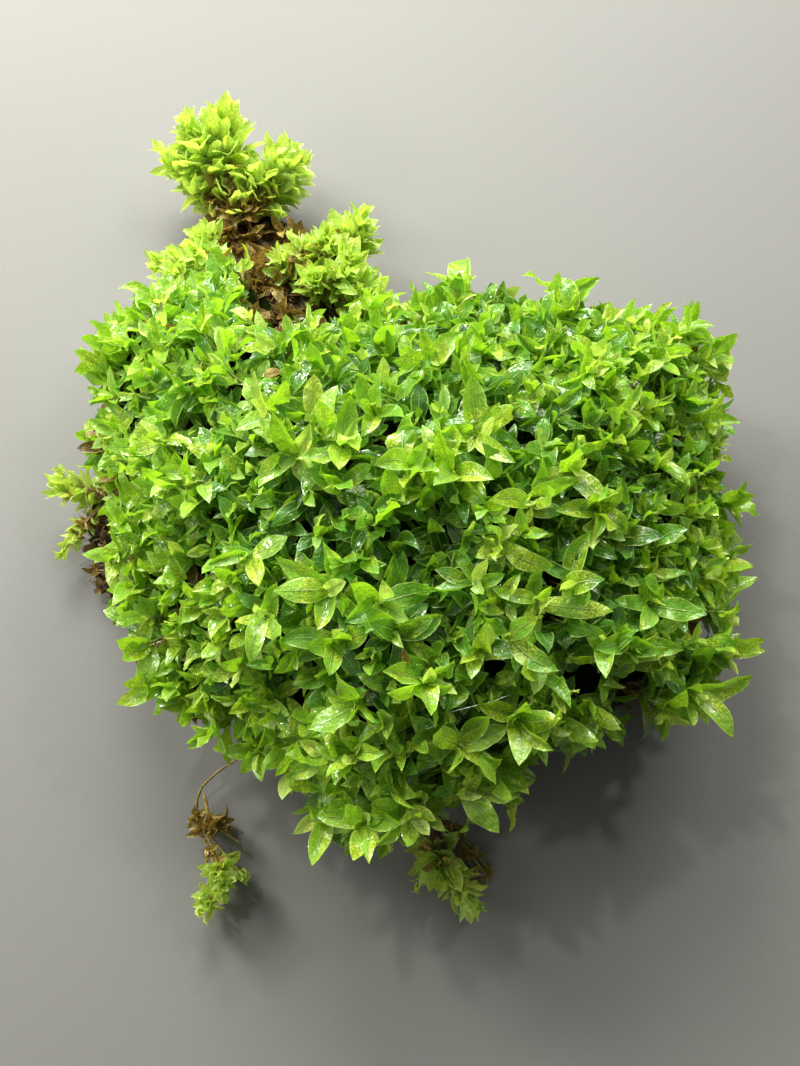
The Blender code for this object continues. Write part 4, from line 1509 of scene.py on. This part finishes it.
for place, normal in dice.choices(soil_tops + soil_sides, k=LITTER_LEAVES):
    lay_leaf(place, normal, rises=(0.0, 0.7), lengths=(0.5, 1.3), tones=(-0.2, 0.7))
skirt_places = [spot for spot in heart_sides if not in_hollow(spot[0])]
for place, outward in dice.choices(skirt_places, k=SKIRT_LEAVES):
    way = outward + UP * dice.uniform(*SKIRT_SAG) + stray_vector(SKIRT_STRAY)
    tip = place + way.normalized() * dice.uniform(*SKIRT_LENGTHS) * MM
    litter.append(shaped_leaf(place, tip, UP, dice.uniform(*SKIRT_TONES), bend=-0.8))
for place, normal in heart_tops:
    lay_leaf(place, normal, rises=(0.2, 1.4), lengths=(0.9, 1.8), tones=(-0.5, 0.7))
near_patch = [spot for spot in soil_tops if (spot[0].xy - PATCH_PLACE.xy).length < PATCH_WIDTH]
for place, normal in dice.choices(near_patch, k=PATCH_LEAVES):
    lay_leaf(place, normal, rises=(0.3, 1.6), lengths=(0.9, 1.9), tones=(0.1, 1.1))
litter_piece = join_batches("leaf_litter", [leaf_batch(litter, PLAIN_LEAF)], [old_finish])

# %% [markdown]
# ### Crumbs
#
# Loose crumbs of soil cling between the hairs. One small icosphere of 20 faces is the start of all of
# them: each copy is stretched and turned its own way and pressed a little into the mat.

# %% Press crumbs into the soil
SOIL_CRUMBS = 1500
CRUMB_SIZES = (0.07, 0.26)        # radii in millimetres
CRUMB_STRETCH = (0.6, 1.4)
CRUMB_STANDS_OUT = 0.3            # of its radius
FULL_TURN = 6.28                  # radians

bpy.ops.object.select_all(action="DESELECT")
bpy.ops.mesh.primitive_ico_sphere_add(subdivisions=1, radius=1.0)
ball = bpy.context.object
crumb_corners = np.array([corner.co[:] for corner in ball.data.vertices])
crumb_faces = [tuple(face.vertices) for face in ball.data.polygons]
bpy.data.objects.remove(ball)

points, faces = [], []
for place, normal in dice.choices(soil_tops + soil_sides + soil_sides, k=SOIL_CRUMBS):
    size = dice.uniform(*CRUMB_SIZES) * MM
    turn = Euler([dice.uniform(0.0, FULL_TURN) for _ in range(3)]).to_matrix()
    stretch = Matrix.Diagonal([dice.uniform(*CRUMB_STRETCH) for _ in range(3)])
    shape_of_crumb = np.array(turn @ stretch) * size
    middle = place + normal * size * CRUMB_STANDS_OUT
    middle.z = max(middle.z, size * CRUMB_STRETCH[1])
    start = len(points) * len(crumb_corners)
    points.append(crumb_corners @ shape_of_crumb.T + np.array(middle))
    faces += [tuple(corner + start for corner in face) for face in crumb_faces]
count = len(points) * len(crumb_corners)
crumbs = join_batches("soil_crumbs", [Batch(
    np.concatenate(points), faces, np.zeros((count, 2)), np.zeros(count), np.zeros(count), 0)], [soil_finish])
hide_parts("soil_mat")

# %% [markdown]
# ### A stray fibre
#
# One pale fibre is caught between the leaves near the front. It is a single hair-fine tube that
# bows over two leaves.

# %% Lay the stray fibre
FIBRE_PIXELS = [(448, 713), (458, 710), (470, 707), (482, 704), (494, 701), (504, 697), (513, 694)]
FIBRE_RADIUS = 0.022 * MM
FIBRE_LIFTS = [0.2, 0.8, 0.9, 0.2, 0.7, 0.9, 0.1]      # millimetres over the canopy at each pixel

fibre_path = [tuple(seen_at(pixel, lift * MM)) for pixel, lift in zip(FIBRE_PIXELS, FIBRE_LIFTS)]
fibre_finish = streaked_finish(
    "pale_fibre", [(0.3, 0.70, 0.68, 0.60), (0.7, 0.92, 0.92, 0.88)],
    scale=5000.0, detail=2.0, roughness=0.45, depth=0.01 * MM, strength=0.4)
fibre = join_batches("stray_fibre", [tube_batch([fibre_path], FIBRE_RADIUS, 5, [0.5], [0.5])], [fibre_finish])

# %% [markdown]
# ## Compare the sizes
#
# Dressing must not change the size of the object.

# %% Write the sizes
dressed_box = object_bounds()
print("solid box and dressed box in mm:",
      [[round(value / MM, 1) for value in corner] for corner in (*cad_box, *dressed_box)])
